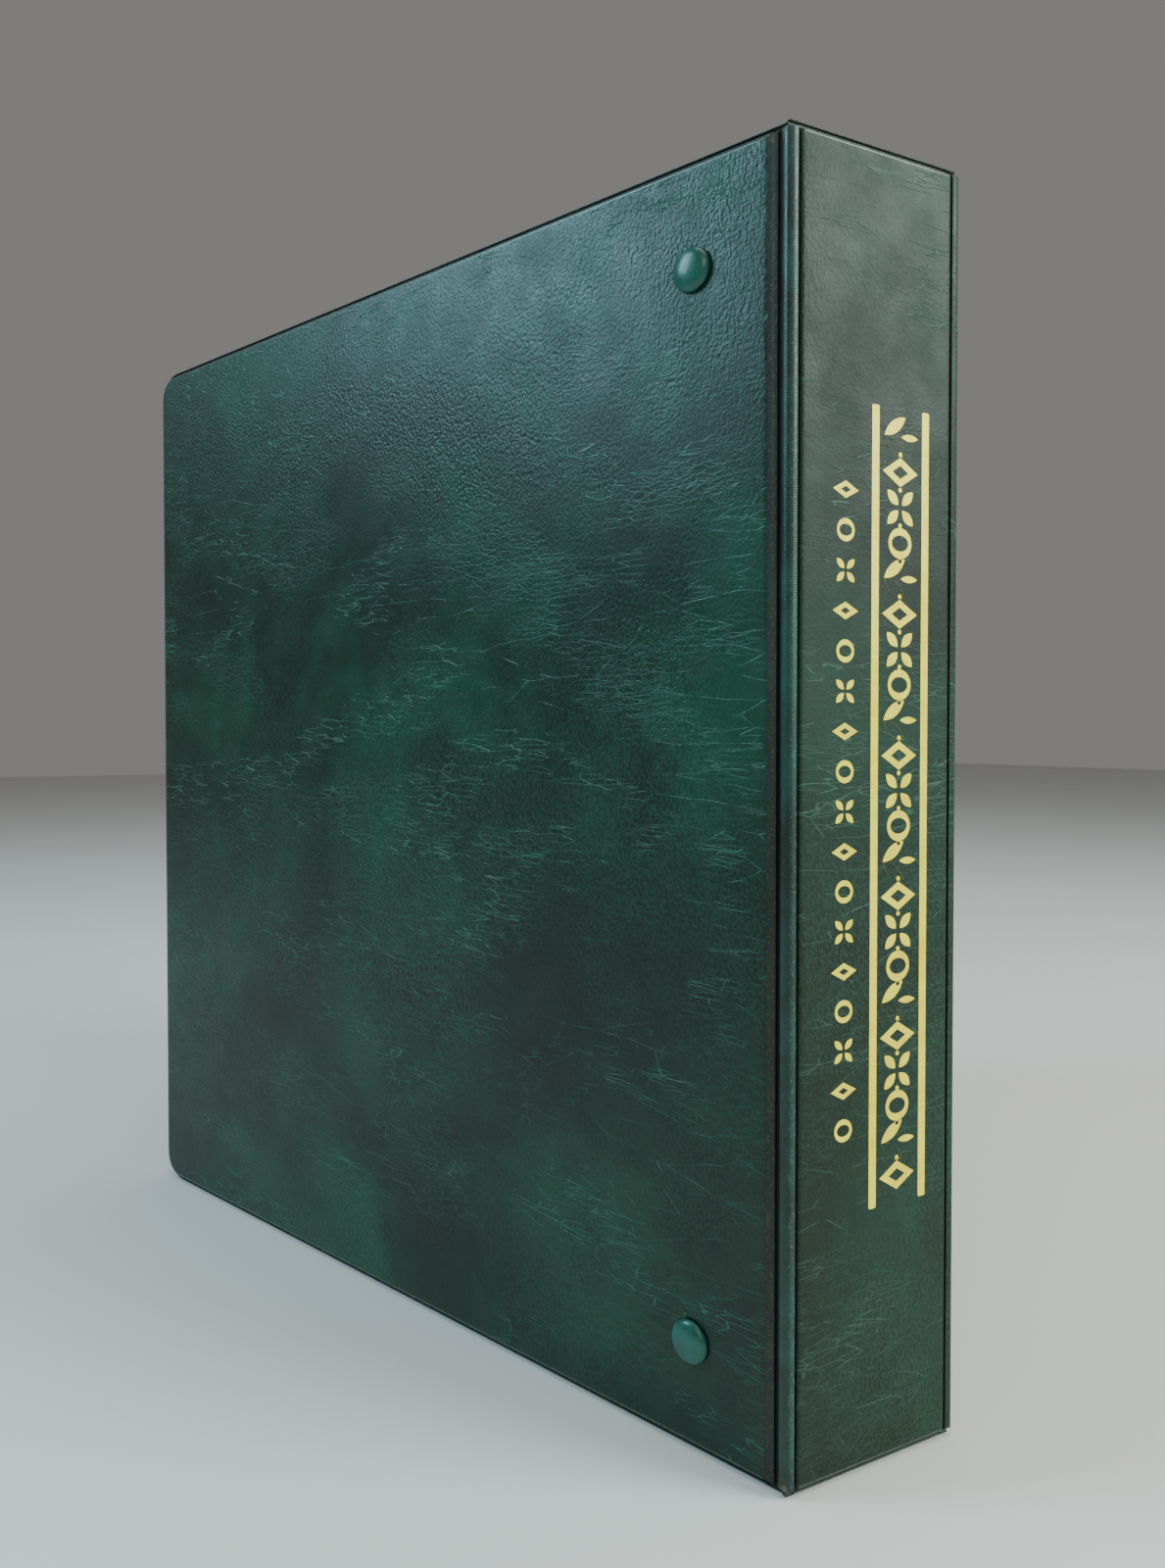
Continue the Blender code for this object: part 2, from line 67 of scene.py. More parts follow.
# Read from the frame
JOINTS = {joint["name"]: joint for joint in frame["joints"]}
BACK_AXIS = Vector((*JOINTS["back_cover_hinge"]["pos_m"][:2], 0))
FRONT_AXIS = Vector((*JOINTS["front_cover_hinge"]["pos_m"][:2], 0))
SPLAY = math.radians(-JOINTS["back_cover_hinge"]["range_deg"][0])
ALBUM_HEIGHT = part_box("back_hinge_bead")[1].z
AXIS_SPACING = FRONT_AXIS.x - BACK_AXIS.x
BEAD_RADIUS = (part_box("back_hinge_bead")[1].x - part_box("back_hinge_bead")[0].x) / 2
RIVET_HEIGHTS = [sum(corner.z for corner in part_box(word + "_rivet")) / 2 for word in ("lower", "upper")]
HALF_THICKNESS = BEAD_RADIUS  # of a cover or the spine

# Sizes the frame holds, as the CAD names them
COVER_END = 268 * MM
RIVET_ALONG = 25 * MM
FORE_EDGE_CORNER = 9 * MM
RIM_WIDTH = 1.6 * MM
RING_CENTRE = (-3.5 * MM, 20 * MM)
RING_RADIUS = 14 * MM
RING_POST = 10.5 * MM
RING_SPACING = 108 * MM
RING_FOOT_RISE = 3.1 * MM
RING_FOOT_LENGTH = 2.5 * MM
RING_SPLIT_GAP = 0.35 * MM
WIRE_RADIUS = 1.8 * MM
LEAF_HEIGHT = 279.4 * MM
LEAF_MARGIN = 12 * MM
LEAF_HOLE = 4 * MM
LIFTER_SLIDE = 5 * MM
HOLE_OFFSET = 1.2 * MM

# Detail that the frame doesn't hold
COVER_JACKET_START = 4.5 * MM
SPINE_JACKET_START = 0.52 * MM
NEAR_RIM = 0.25 * MM
NEAR_CORNER = 0.7 * MM
BEAD_REACH = 2.35 * MM
SHOULDER_END = 2.2 * MM
FIELD_INSET = 10 * MM
GRID_STEP = 3.4 * MM
CORNER_STEPS = 8
RING_STEPS = 36
WAVE_HEIGHT = 0.07 * MM
WAVES_PER_METRE = 22
DIMPLE_DEPTH = 0.35 * MM
DIMPLE_RADIUS = 9 * MM
FOIL_HEIGHT = 0.05 * MM
CREASE_BEND = 0.004
RIB_PITCH = 0.55 * MM
WORN_END = 5 * MM
SEED = 7

Panel = namedtuple("Panel", "name body origin along out start end far_corner squeezed_end")

UP = Vector((0, 0, 1))


# Scene helpers


def link(name, data):
    piece = bpy.data.objects.new(name, data)
    bpy.context.scene.collection.objects.link(piece)
    return piece


def mesh_from(bm, name, smooth=True):
    """The bmesh as a new mesh, with its faces turned outwards. It uses the bmesh up."""
    bmesh.ops.recalc_face_normals(bm, faces=bm.faces)
    mesh = bpy.data.meshes.new(name)
    for face in bm.faces:
        face.smooth = smooth
    bm.to_mesh(mesh)
    bm.free()
    return mesh


def finish_piece(piece, body, material, slot, replaced=()):
    """The material is the piece's first. A blended piece has no body of its own here."""
    piece.data.materials.append(material)
    if body:
        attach(piece, body)
    if replaced:
        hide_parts(*replaced)
    return piece


def soften_edges(piece, angle):
    """Edges that turn by more than the angle, in degrees, stay sharp under smooth shading."""
    bm = bmesh.new()
    bm.from_mesh(piece.data)
    limit = math.radians(angle)
    for edge in bm.edges:
        edge.smooth = len(edge.link_faces) == 2 and edge.calc_face_angle(0) < limit
    bm.to_mesh(piece.data)
    bm.free()


def add_rings(bm, rings, cap_last=True, slot_of=None):
    """Joins rings into one capped skin. slot_of(row, column) says which of its materials a face has."""
    rows = [[bm.verts.new(point) for point in ring] for ring in rings]
    count = len(rows[0])
    for number, (low, high) in enumerate(zip(rows, rows[1:])):
        for i in range(count):
            j = (i + 1) % count
            face = bm.faces.new((low[i], low[j], high[j], high[i]))
            if slot_of:
                face.material_index = slot_of(number, i)
    bm.faces.new(rows[0])
    if cap_last:
        bm.faces.new(rows[-1])


def filled_mesh(name, loops, thickness):
    """A flat closed plate from outlines in a plane, where an outline inside another is a hole."""
    curve = bpy.data.curves.new(name, "CURVE")
    curve.dimensions = "2D"
    curve.fill_mode = "BOTH"
    curve.extrude = thickness / 2
    for loop in loops:
        spline = curve.splines.new("POLY")
        spline.points.add(len(loop) - 1)
        spline.use_cyclic_u = True
        for point, (x, y) in zip(spline.points, loop):
            point.co = (x, y, 0, 1)
    holder = link(name + "_outline", curve)
    graph = bpy.context.evaluated_depsgraph_get()
    mesh = bpy.data.meshes.new_from_object(holder.evaluated_get(graph))
    bpy.data.objects.remove(holder)
    bm = bmesh.new()
    bm.from_mesh(mesh)
    bmesh.ops.remove_doubles(bm, verts=bm.verts, dist=1e-7)
    bmesh.ops.recalc_face_normals(bm, faces=bm.faces)
    bm.to_mesh(mesh)
    bm.free()
    return mesh


def joined_mesh(name, parts):
    """One mesh from (mesh, matrix) pairs."""
    bm = bmesh.new()
    for mesh, matrix in parts:
        moved = mesh.copy()
        moved.transform(matrix)
        bm.from_mesh(moved)
        bpy.data.meshes.remove(moved)
    return mesh_from(bm, name, smooth=False)


def oval_loop(x, y, across, tall, steps):
    angles = [2 * math.pi * i / steps for i in range(steps)]
    return [(x + across * math.cos(angle), y + tall * math.sin(angle)) for angle in angles]


def circle_loop(x, y, radius, steps):
    return oval_loop(x, y, radius, radius, steps)


# Shader helpers


class Shader:
    """A small builder for one material's nodes."""

    def __init__(self, name):
        self.material = bpy.data.materials.new(name)
        self.material.use_nodes = True
        self.tree = self.material.node_tree
        self.out = self.tree.nodes["Principled BSDF"]
        self.place = self.add("ShaderNodeTexCoord", {}).outputs["Object"]

    def feed(self, value, socket):
        """A number or a colour is set on the socket, and another node's output is wired to it."""
        if isinstance(value, (int, float)):
            socket.default_value = value
        elif isinstance(value, tuple):
            socket.default_value = (*value, 1)[: len(socket.default_value)]
        else:
            self.tree.links.new(value, socket)

    def add(self, kind, sockets, **settings):
        node = self.tree.nodes.new(kind)
        for key, value in settings.items():
            setattr(node, key, value)
        for key, value in sockets.items():
            self.feed(value, node.inputs[key])
        return node

    def scaled(self, scale, turn=(0, 0, 0), vector=None):
        sockets = {"Scale": scale, "Rotation": turn, "Vector": vector or self.place}
        return self.add("ShaderNodeMapping", sockets).outputs["Vector"]

    def noise(self, scale, detail, roughness=0.5, distortion=0.0, vector=None, output="Fac"):
        sockets = {"Scale": scale, "Detail": detail, "Roughness": roughness, "Distortion": distortion}
        return self.add("ShaderNodeTexNoise", {**sockets, "Vector": vector or self.place}).outputs[output]

    def cells(self, scale, feature, vector=None):
        sockets = {"Scale": scale, "Vector": vector or self.place}
        return self.add("ShaderNodeTexVoronoi", sockets, feature=feature).outputs["Distance"]

    def ramp(self, value, stops):
        node = self.add("ShaderNodeValToRGB", {"Fac": value})
        band = node.color_ramp
        while len(band.elements) < len(stops):
            band.elements.new(0.5)
        for element, (position, colour) in zip(band.elements, stops):
            element.position = position
            element.color = (*colour, 1)
        return node.outputs["Color"]

    def span(self, value, low, high, to_low=0.0, to_high=1.0):
        sockets = {"Value": value, "From Min": low, "From Max": high, "To Min": to_low, "To Max": to_high}
        return self.add("ShaderNodeMapRange", sockets).outputs["Result"]

    def drift(self, field, low, high):
        """A roughness that wanders between low and high with a noise."""
        return self.span(field, 0.3, 0.7, low, high)

    def patches(self, scale, detail, roughness, distortion, stretch, turn, low, high):
        """1 where a noise stretched along Z is above high, and 0 where it is below low."""
        field = self.noise(scale, detail, roughness, distortion, self.scaled((1, 1, stretch), turn))
        return self.span(field, low, high)

    def product(self, *values):
        result = values[0]
        for value in values[1:]:
            result = self.math("MULTIPLY", result, value)
        return result

    def math(self, operation, first, second=0.0):
        return self.add("ShaderNodeMath", {0: first, 1: second}, operation=operation).outputs["Value"]

    def mix(self, factor, first, second):
        return self.add("ShaderNodeMix", {0: factor, 6: first, 7: second}, data_type="RGBA").outputs[2]

    def bump(self, height, distance, strength=1.0, after=None):
        node = self.add("ShaderNodeBump", {"Distance": distance, "Strength": strength, "Height": height})
        if after:
            self.feed(after, node.inputs["Normal"])
        return node.outputs["Normal"]

    def finish(self, colour, roughness, normal, **sockets):
        given = {"Base Color": colour, "Roughness": roughness, "Normal": normal, **sockets}
        for name, value in given.items():
            self.feed(value, self.out.inputs[name.replace("_", " ")])
        return self.material


# Materials


def creases(shader, scale, stretch, width, turn):
    """Thin lines that part and meet, mostly level, as pressed into the vinyl."""
    field = shader.noise(45, 4, output="Color")
    bent = shader.add("ShaderNodeMix", {0: CREASE_BEND, 4: shader.place, 5: field}, data_type="VECTOR")
    stretched = shader.scaled((1, 1, stretch), turn, bent.outputs[1])
    lines = shader.cells(scale, "DISTANCE_TO_EDGE", stretched)
    return shader.span(lines, 0.0, width, 1.0, 0.0)


def leatherette(name, tones, crease_colour, gloss, index):
    """Cloudy vinyl with a pebbled grain, and three sizes of crease that come and go in patches."""
    shader = Shader(name)
    cloud = shader.noise(10, 6, 0.60, 0.7, shader.scaled((1, 1, 1.15)))
    patch = shader.noise(34, 5, 0.62, 0.5, shader.scaled((1, 1, 0.7), (0.4, 0.2, 0.9)))
    tone = shader.math("ADD", shader.product(cloud, 0.70), shader.product(patch, 0.30))
    base = shader.ramp(tone, list(zip((0.38, 0.50, 0.63), tones)))
    cluster = shader.patches(15, 3, 0.55, 0.6, 3.0, (0, 0, 0.3), 0.50, 0.60)
    broken = shader.patches(120, 2, 0.5, 0.0, 3.5, (0, 0, 0), 0.42, 0.56)
    few = shader.patches(22, 2, 0.5, 0.4, 2.0, (0.7, 0, 0), 0.50, 0.62)
    band = shader.patches(9, 3, 0.55, 0.5, 1.6, (0.2, 0.9, 0.1), 0.47, 0.58)
    large = creases(shader, 100, 6.5, 0.046, (0.05, 0.04, 0.0))
    small = creases(shader, 190, 3.6, 0.075, (0.35, 0.1, 0.4))
    long = creases(shader, 30, 5.0, 0.013, (0.02, 0.06, 0.0))
    veins = shader.product(large, cluster, broken)
    threads = shader.product(long, broken, shader.product(band, 0.75))
    fine = shader.product(small, few, 0.3)
    lines = shader.math("MAXIMUM", shader.math("MAXIMUM", veins, threads), fine)
    pebble = shader.cells(1500, "SMOOTH_F1", shader.scaled((1, 1, 0.8)))
    strong = shader.span(shader.noise(13, 3, 0.5, 0.3), 0.40, 0.62, 0.25, 1.0)
    # The pebbles' crowns are painted paler toward the crease colour, as a painted highlight on the grain's
    # tops.
    crown_highlight = shader.product(shader.span(pebble, 0.52, 0.30), strong)
    colour = shader.mix(shader.product(crown_highlight, 0.20), base, crease_colour)
    colour = shader.mix(shader.product(lines, 0.85), colour, crease_colour)
    rough = shader.drift(shader.noise(90, 4, 0.6), gloss, gloss + 0.12)
    normal = shader.bump(shader.product(pebble, strong), -0.19 * MM, 0.85)
    normal = shader.bump(lines, 0.14 * MM, 0.6, normal)
    return shader.finish(colour, rough, normal, IOR=index)


def cover_vinyl(name):
    tones = ((0.0018, 0.0070, 0.0036), (0.0020, 0.0180, 0.0098), (0.0022, 0.0480, 0.0240))
    return leatherette(name, tones, (0.014, 0.130, 0.080), 0.31, 1.40)


def spine_vinyl():
    tones = ((0.0056, 0.0114, 0.0050), (0.0074, 0.0208, 0.0112), (0.0084, 0.0380, 0.0220))
    return leatherette("spine_vinyl", tones, (0.040, 0.110, 0.080), 0.44, 1.34)


def lining_vinyl():
    tones = ((0.0040, 0.0120, 0.0080), (0.0060, 0.0260, 0.0180), (0.0080, 0.0400, 0.0280))
    return leatherette("lining_vinyl", tones, (0.020, 0.070, 0.050), 0.46, 1.42)


WELD_TONES = ((0.006, 0.008, 0.004), (0.010, 0.015, 0.008), (0.014, 0.026, 0.015))
BEAD_TONES = ((0.003, 0.014, 0.010), (0.005, 0.034, 0.026), (0.007, 0.060, 0.046))
# The ribbed band's bluish teal is partly its own colour and partly a painted reflection of the blue window
# light.
RIB_TONES_AND_REFLECTION = ((0.006, 0.024, 0.017), (0.009, 0.044, 0.034), (0.013, 0.070, 0.056))


def weld_vinyl(name, tones, speck_colour, gloss):
    """A band of the hinge strip: ribbed across by the welding bar, speckled, and rubbed pale at its ends."""
    shader = Shader(name)
    patch = shader.noise(60, 5, 0.6, 0.5)
    base = shader.ramp(patch, list(zip((0.35, 0.5, 0.65), tones)))
    height = shader.add("ShaderNodeSeparateXYZ", {0: shader.place}).outputs[2]
    ribs = shader.math("SINE", shader.product(height, 2 * math.pi / RIB_PITCH))
    speck = shader.span(shader.noise(1500, 2, 0.6), 0.56, 0.70)
    base = shader.mix(shader.product(speck, 0.5), base, speck_colour)
    high = shader.span(height, ALBUM_HEIGHT - WORN_END, ALBUM_HEIGHT - 0.4 * WORN_END)
    low = shader.span(height, WORN_END, 0.4 * WORN_END)
    worn = shader.span(shader.noise(520, 3, 0.6), 0.50, 0.62)
    ends = shader.product(shader.math("MAXIMUM", high, low), worn)
    colour = shader.mix(shader.product(ends, 0.6), base, (0.180, 0.150, 0.085))
    rough = shader.drift(shader.noise(300, 3, 0.6), gloss, gloss + 0.15)
    normal = shader.bump(ribs, 0.03 * MM, 0.35)
    normal = shader.bump(shader.noise(2200, 2, 0.6), 0.05 * MM, 0.5, normal)
    return shader.finish(colour, rough, normal, IOR=1.45)


def worn_edge():
    """The lip and the panels' rounded edges, polished and painted paler: partly wear from handling, and
    mostly a painted highlight of the light from above.
    """
    shader = Shader("worn_edge")
    rub = shader.noise(900, 4, 0.6, 0.3)
    tones = ((0.010, 0.030, 0.020), (0.020, 0.050, 0.037), (0.046, 0.088, 0.068))
    colour = shader.ramp(rub, list(zip((0.35, 0.50, 0.68), tones)))
    rough = shader.drift(shader.noise(700, 3, 0.6), 0.20, 0.34)
    return shader.finish(colour, rough, shader.bump(shader.noise(1500, 2, 0.6), 0.02 * MM, 0.4), IOR=1.5)


def two_tone(name, tone, dark, pale, rough, grain, **sockets):
    """Two colours mixed by one noise, and a grain from another. rough may be a noise with its two ends."""
    shader = Shader(name)
    colour = shader.ramp(shader.noise(*tone), [(0.3, dark), (0.7, pale)])
    if isinstance(rough, tuple):
        rough = shader.drift(shader.noise(*rough[0]), *rough[1:])
    field, depth, strength = grain
    normal = shader.bump(shader.noise(*field), depth * MM, strength)
    return shader.finish(colour, rough, normal, **sockets)


def weld_groove():
    """The line pressed by the welding bar all round the panels, and the grooves of the hinge strip: smoother
    than the rest, and painted darker as the shade that falls in these recesses.
    """
    dark, pale = (0.0012, 0.0030, 0.0024), (0.0022, 0.0075, 0.0055)
    return two_tone("weld_groove", (200, 3, 0.6), dark, pale, 0.42, ((1500, 2, 0.6), 0.03, 0.4), IOR=1.36)


def enamel():
    dark, pale = (0.003, 0.060, 0.045), (0.006, 0.110, 0.085)
    rough, grain = ((900, 3, 0.6), 0.26, 0.38), ((700, 2, 0.5), 0.03, 0.35)
    coat = {"Coat_Weight": 0.1, "Coat_Roughness": 0.12}
    return two_tone("rivet_enamel", (240, 3, 0.55), dark, pale, rough, grain, IOR=1.45, **coat)


def plastic():
    dark, pale = (0.012, 0.012, 0.013), (0.024, 0.024, 0.026)
    rough, grain = ((60, 4, 0.6), 0.28, 0.44), ((1500, 2, 0.6), 0.02, 0.4)
    return two_tone("lifter_plastic", (120, 4, 0.6), dark, pale, rough, grain, IOR=1.49)


def chipboard():
    fleck = (500, 4, 0.7)
    return two_tone("chipboard_grey", fleck, (0.20, 0.17, 0.13), (0.38, 0.33, 0.26), 0.9, (fleck, 0.08, 0.6))


def pale_floor():
    dark, pale = (0.66, 0.655, 0.64), (0.70, 0.695, 0.68)
    return two_tone("studio_floor", (3, 3, 0.5), dark, pale, 0.6, ((300, 3, 0.5), 0.1, 0.15))


def metal(name, colour, gloss, brushed):
    shader = Shader(name)
    dark = tuple(0.82 * part for part in colour)
    shade = shader.ramp(shader.noise(45, 4, 0.6), [(0.3, dark), (0.7, colour)])
    streak = shader.noise(900, 3, 0.6, 0.0, shader.scaled((1, 1, 0.04)))
    rough = shader.drift(streak, gloss, gloss + 0.12)
    normal = shader.bump(streak, 0.01 * MM, brushed)
    return shader.finish(shade, rough, normal, Metallic=1.0)


def foil():
    shader = Shader("gold_foil")
    tint = shader.noise(160, 4, 0.6)
    tones = ((0.90, 0.68, 0.02), (1.0, 0.86, 0.04), (1.0, 0.92, 0.07))
    shade = shader.ramp(tint, list(zip((0.3, 0.55, 0.75), tones)))
    thin = shader.span(shader.noise(1500, 2, 0.6), 0.70, 0.80)
    shade = shader.mix(shader.product(thin, 0.5), shade, (0.30, 0.26, 0.07))
    normal = shader.bump(shader.cells(1350, "SMOOTH_F1"), 0.03 * MM, 0.3)
    return shader.finish(shade, 0.45, normal, Metallic=0.1, IOR=1.5)


def paper(name, colour):
    shader = Shader(name)
    warm = tuple(part * scale for part, scale in zip(colour, (0.95, 0.92, 0.84)))
    shade = shader.ramp(shader.noise(30, 4, 0.6), [(0.3, warm), (0.7, colour)])
    fibre = shader.noise(1200, 4, 0.7)
    shade = shader.mix(shader.span(fibre, 0.55, 0.8, 0.0, 0.12), shade, (0.55, 0.47, 0.33))
    normal = shader.bump(fibre, 0.02 * MM, 0.35)
    return shader.finish(shade, 0.82, normal, IOR=1.45)


INKS = {
    "ink_black": (0.05, 0.05, 0.055),
    "ink_red": (0.45, 0.05, 0.05),
    "ink_blue": (0.05, 0.11, 0.38),
    "ink_green": (0.04, 0.24, 0.12),
    "ink_violet": (0.24, 0.08, 0.30),
}


def ink(name, colour):
    """Printed ink with fine engraved lines."""
    shader = Shader(name)
    sockets = {"Scale": 900, "Distortion": 2.5, "Vector": shader.place}
    lines = shader.add("ShaderNodeTexWave", sockets, wave_type="BANDS", bands_direction="DIAGONAL")
    pale = tuple(0.45 + 0.5 * part for part in colour)
    shade = shader.mix(shader.span(lines.outputs["Fac"], 0.35, 0.65, 0.0, 0.55), colour, pale)
    return shader.finish(shade, 0.6, shader.bump(lines.outputs["Fac"], 0.01 * MM, 0.3))


# Covers and spine


def squeezed(inset):
    """Beside the hinge the rim is only a narrow lip."""
    if inset < RIM_WIDTH:
        return inset * NEAR_RIM / RIM_WIDTH
    return NEAR_RIM + inset - RIM_WIDTH


def lip_corner(inset):
    """Beside the hinge the rim runs on square, and only the raised panel has a small round corner."""
    if inset < RIM_WIDTH:
        return NEAR_CORNER * inset / RIM_WIDTH
    return max(NEAR_CORNER - (inset - RIM_WIDTH), 0.0)


def rim_ring(panel, inset, steps_along, steps_up):
    """(along, up) points of the panel's outline stepped in by inset, evenly spread over its sides."""
    low_a = panel.start + squeezed(inset)
    high_a = panel.end - (squeezed(inset) if panel.squeezed_end else inset)
    low_z, high_z = inset, ALBUM_HEIGHT - inset
    near = lip_corner(inset)
    far = lip_corner(inset) if panel.squeezed_end else max(panel.far_corner - inset, 0.0)
    corners = (
        (low_a + near, low_z + near, near, 180, steps_along),
        (high_a - far, low_z + far, far, 270, steps_up),
        (high_a - far, high_z - far, far, 0, steps_along),
        (low_a + near, high_z - near, near, 90, steps_up),
    )
    arcs = []
    for along, up, radius, start, _ in corners:
        angles = [math.radians(start + 90 * i / CORNER_STEPS) for i in range(CORNER_STEPS + 1)]
        arcs.append([(along + radius * math.cos(a), up + radius * math.sin(a)) for a in angles])
    points = []
    for i, arc in enumerate(arcs):
        points += arc
        steps = corners[i][4]
        (a0, z0), (a1, z1) = arc[-1], arcs[(i + 1) % 4][0]
        points += [(a0 + (a1 - a0) * k / steps, z0 + (z1 - z0) * k / steps) for k in range(1, steps)]
    return points


# (inset, depth) in mm of a vinyl sheet's section, from the welded lip over the groove and the panel's
# rounded edge to the flat field, and of the pocket behind it.
OUTER_PROFILE = (
    (0.0, 0.15), (0.0, 0.48), (0.08, 0.62), (0.26, 0.66), (0.42, 0.52), (0.60, 0.26), (1.20, 0.22),
    (1.42, 0.45), (1.52, 0.95), (1.58, 1.45), (1.72, 1.76), (1.95, 1.91), (2.4, 1.98), (3.2, 2.0),
    (6.5, 2.0), (FIELD_INSET / MM, 2.0),
)
POCKET_PROFILE = ((2.3, 1.45), (2.3, 0.15))
FIRST_OUTER_ROW = len(POCKET_PROFILE)
LIP_ROWS = range(FIRST_OUTER_ROW, FIRST_OUTER_ROW + 3)
GROOVE_ROWS = range(FIRST_OUTER_ROW + 3, FIRST_OUTER_ROW + 8)
SHOULDER_ROWS = range(FIRST_OUTER_ROW + 8, FIRST_OUTER_ROW + 12)
# The groove slot holds the painted groove shade, and the edge slot the painted edge highlight.
GROOVE_SHADE_SLOT, EDGE_HIGHLIGHT_SLOT = 1, 2
PLAIN_EDGE = 0.9 * MM


def wave(panel, along, up, inset):
    """How far the vinyl sinks between the board's high spots."""
    seed = Vector((along * WAVES_PER_METRE, up * WAVES_PER_METRE, len(panel.name)))
    slow = noise.noise(seed) + 0.5 * noise.noise(seed * 2.7)
    fade = min(1.0, max(0.0, (inset / MM - 2.0) / 6.0))
    return -WAVE_HEIGHT * fade * (0.5 + 0.5 * slow)


def dimple(along, up):
    """The vinyl is drawn down round each rivet head."""
    depth = 0.0
    for height in RIVET_HEIGHTS:
        away = math.hypot(along - RIVET_ALONG, up - height)
        depth += DIMPLE_DEPTH * math.exp(-((away / DIMPLE_RADIUS) ** 2) * 2.2)
    return -depth


def rim_slot(row, _column):
    """The welded groove is painted dark as shade, and the lip and the panel's rounded edge are painted paler:
    partly rubbed wear, and mostly a painted highlight of the light from above.
    """
    if row in GROOVE_ROWS:
        return GROOVE_SHADE_SLOT
    return EDGE_HIGHLIGHT_SLOT if row in SHOULDER_ROWS or row in LIP_ROWS else 0


def jacket_mesh(name, panel, side, dented=False):
    """One vinyl sheet drawn over the board: welded rim, groove, rounded panel edge and field."""
    low_a = panel.start + squeezed(FIELD_INSET)
    high_a = panel.end - (squeezed(FIELD_INSET) if panel.squeezed_end else FIELD_INSET)
    steps_along = max(6, round((high_a - low_a) / GRID_STEP))
    steps_up = round((ALBUM_HEIGHT - 2 * FIELD_INSET) / GRID_STEP)

    def place(along, up, depth):
        return panel.origin + panel.along * along + panel.out * side * depth + UP * up

    def surface(along, up, inset, depth):
        if inset >= SHOULDER_END:
            depth += wave(panel, along, up, inset) + (dimple(along, up) if dented else 0.0)
        return place(along, up, depth)

    bm = bmesh.new()
    rings = []
    for inset, depth in POCKET_PROFILE:
        rings.append([place(a, z, depth * MM) for a, z in rim_ring(panel, inset * MM, steps_along, steps_up)])
    for inset, depth in OUTER_PROFILE:
        ring = rim_ring(panel, inset * MM, steps_along, steps_up)
        rings.append([surface(a, z, inset * MM, depth * MM) for a, z in ring])
    add_rings(bm, rings, cap_last=False, slot_of=rim_slot)
    rows = []
    for i in range(steps_along + 1):
        along = low_a + (high_a - low_a) * i / steps_along
        row = []
        for k in range(steps_up + 1):
            up = FIELD_INSET + (ALBUM_HEIGHT - 2 * FIELD_INSET) * k / steps_up
            row.append(bm.verts.new(surface(along, up, FIELD_INSET, HALF_THICKNESS)))
        rows.append(row)
    for left, right in zip(rows, rows[1:]):
        for k in range(steps_up):
            bm.faces.new((left[k], right[k], right[k + 1], left[k + 1]))
    bmesh.ops.remove_doubles(bm, verts=bm.verts, dist=2e-6)
    # Beside the hinges the edges go without the painted highlight, and at the spine's far end without the
    # painted groove shade too.
    for face in bm.faces:
        along = (face.calc_center_median() - panel.origin).dot(panel.along)
        if along < panel.start + PLAIN_EDGE and face.material_index == EDGE_HIGHLIGHT_SLOT:
            face.material_index = 0
        if panel.squeezed_end and along > panel.end - PLAIN_EDGE:
            face.material_index = 0
    return mesh_from(bm, name)


def build_jackets(panels, materials):
    for panel in panels:
        outer = link(panel.name + "_jacket", jacket_mesh(panel.name, panel, 1, panel.name == "back_cover"))
        finish_piece(outer, panel.body, materials[panel.name], "leatherette", [panel.name + "_skin"])
        inner = link(panel.name + "_inside", jacket_mesh(panel.name + "_in", panel, -1))
        finish_piece(inner, panel.body, materials["lining"], "lining", [panel.name + "_lining"])
        for piece in (outer, inner):
            piece.data.materials.append(materials["groove_shade"])
            piece.data.materials.append(materials["edge"])
            soften_edges(piece, 50)


# (along, out) in mm on the cover's side of the hinge, and then on the spine's side
COVER_SIDE = (
    (5.6, 0.12), (5.04, 0.12), (5.02, 1.70), (4.90, 1.86), (4.50, 1.74), (3.6, 1.68), (2.92, 1.64),
    (2.76, 1.50), (2.62, 1.16), (2.50, 1.02), (2.36, 1.08), (2.24, 1.36), (2.14, 1.44), (2.02, 1.38),
    (1.90, 1.10), (1.78, 1.02), (1.66, 1.12), (1.58, 1.45),
)
SPINE_SIDE = (
    (-1.62, 1.56), (-1.52, 1.62), (-1.40, 1.80), (-1.2, 1.86), (-0.6, 1.88), (-0.1, 1.86), (0.06, 1.78),
    (0.20, 1.50), (0.32, 1.10), (0.44, 0.60), (0.50, 0.12), (2.6, 0.12),
)
FLUSH_SPINE_SIDE = (
    (-1.62, 1.66), (-1.40, 1.86), (-1.0, 1.95), (-0.5, 1.98), (0.1, 1.99), (0.34, 1.98), (0.46, 1.90),
    (0.50, 1.60), (0.50, 0.12), (2.6, 0.12),
)
GROOVE_COLUMN = 7
RIBBED_COLUMNS = 6
SPINE_INSIDE = ((2.6, 0.12), (0.54, 0.12), (0.52, 0.8), (0.48, 1.4), (0.36, 1.86))
COVER_INSIDE = (
    (1.50, 1.32), (2.0, 1.26), (3.0, 1.24), (4.5, 1.24), (4.84, 1.16), (4.90, 0.12), (5.6, 0.12),
)
ARC_POINTS = 22
END_GROOVE_ROWS = range(1, 8)
STRIP_STEP = 4 * MM
LIP_OVER_RIM = 0.7 * MM


def arc_between(centre, first, second, radius, steps):
    """Points on a circle about the hinge between two points near it."""
    start = math.atan2(first.y - centre.y, first.x - centre.x)
    turn = math.atan2(second.y - centre.y, second.x - centre.x) - start
    turn = (turn + math.pi) % (2 * math.pi) - math.pi
    points = []
    for i in range(1, steps):
        angle = start + turn * i / steps
        points.append(centre + Vector((math.cos(angle), math.sin(angle), 0)) * radius)
    return points


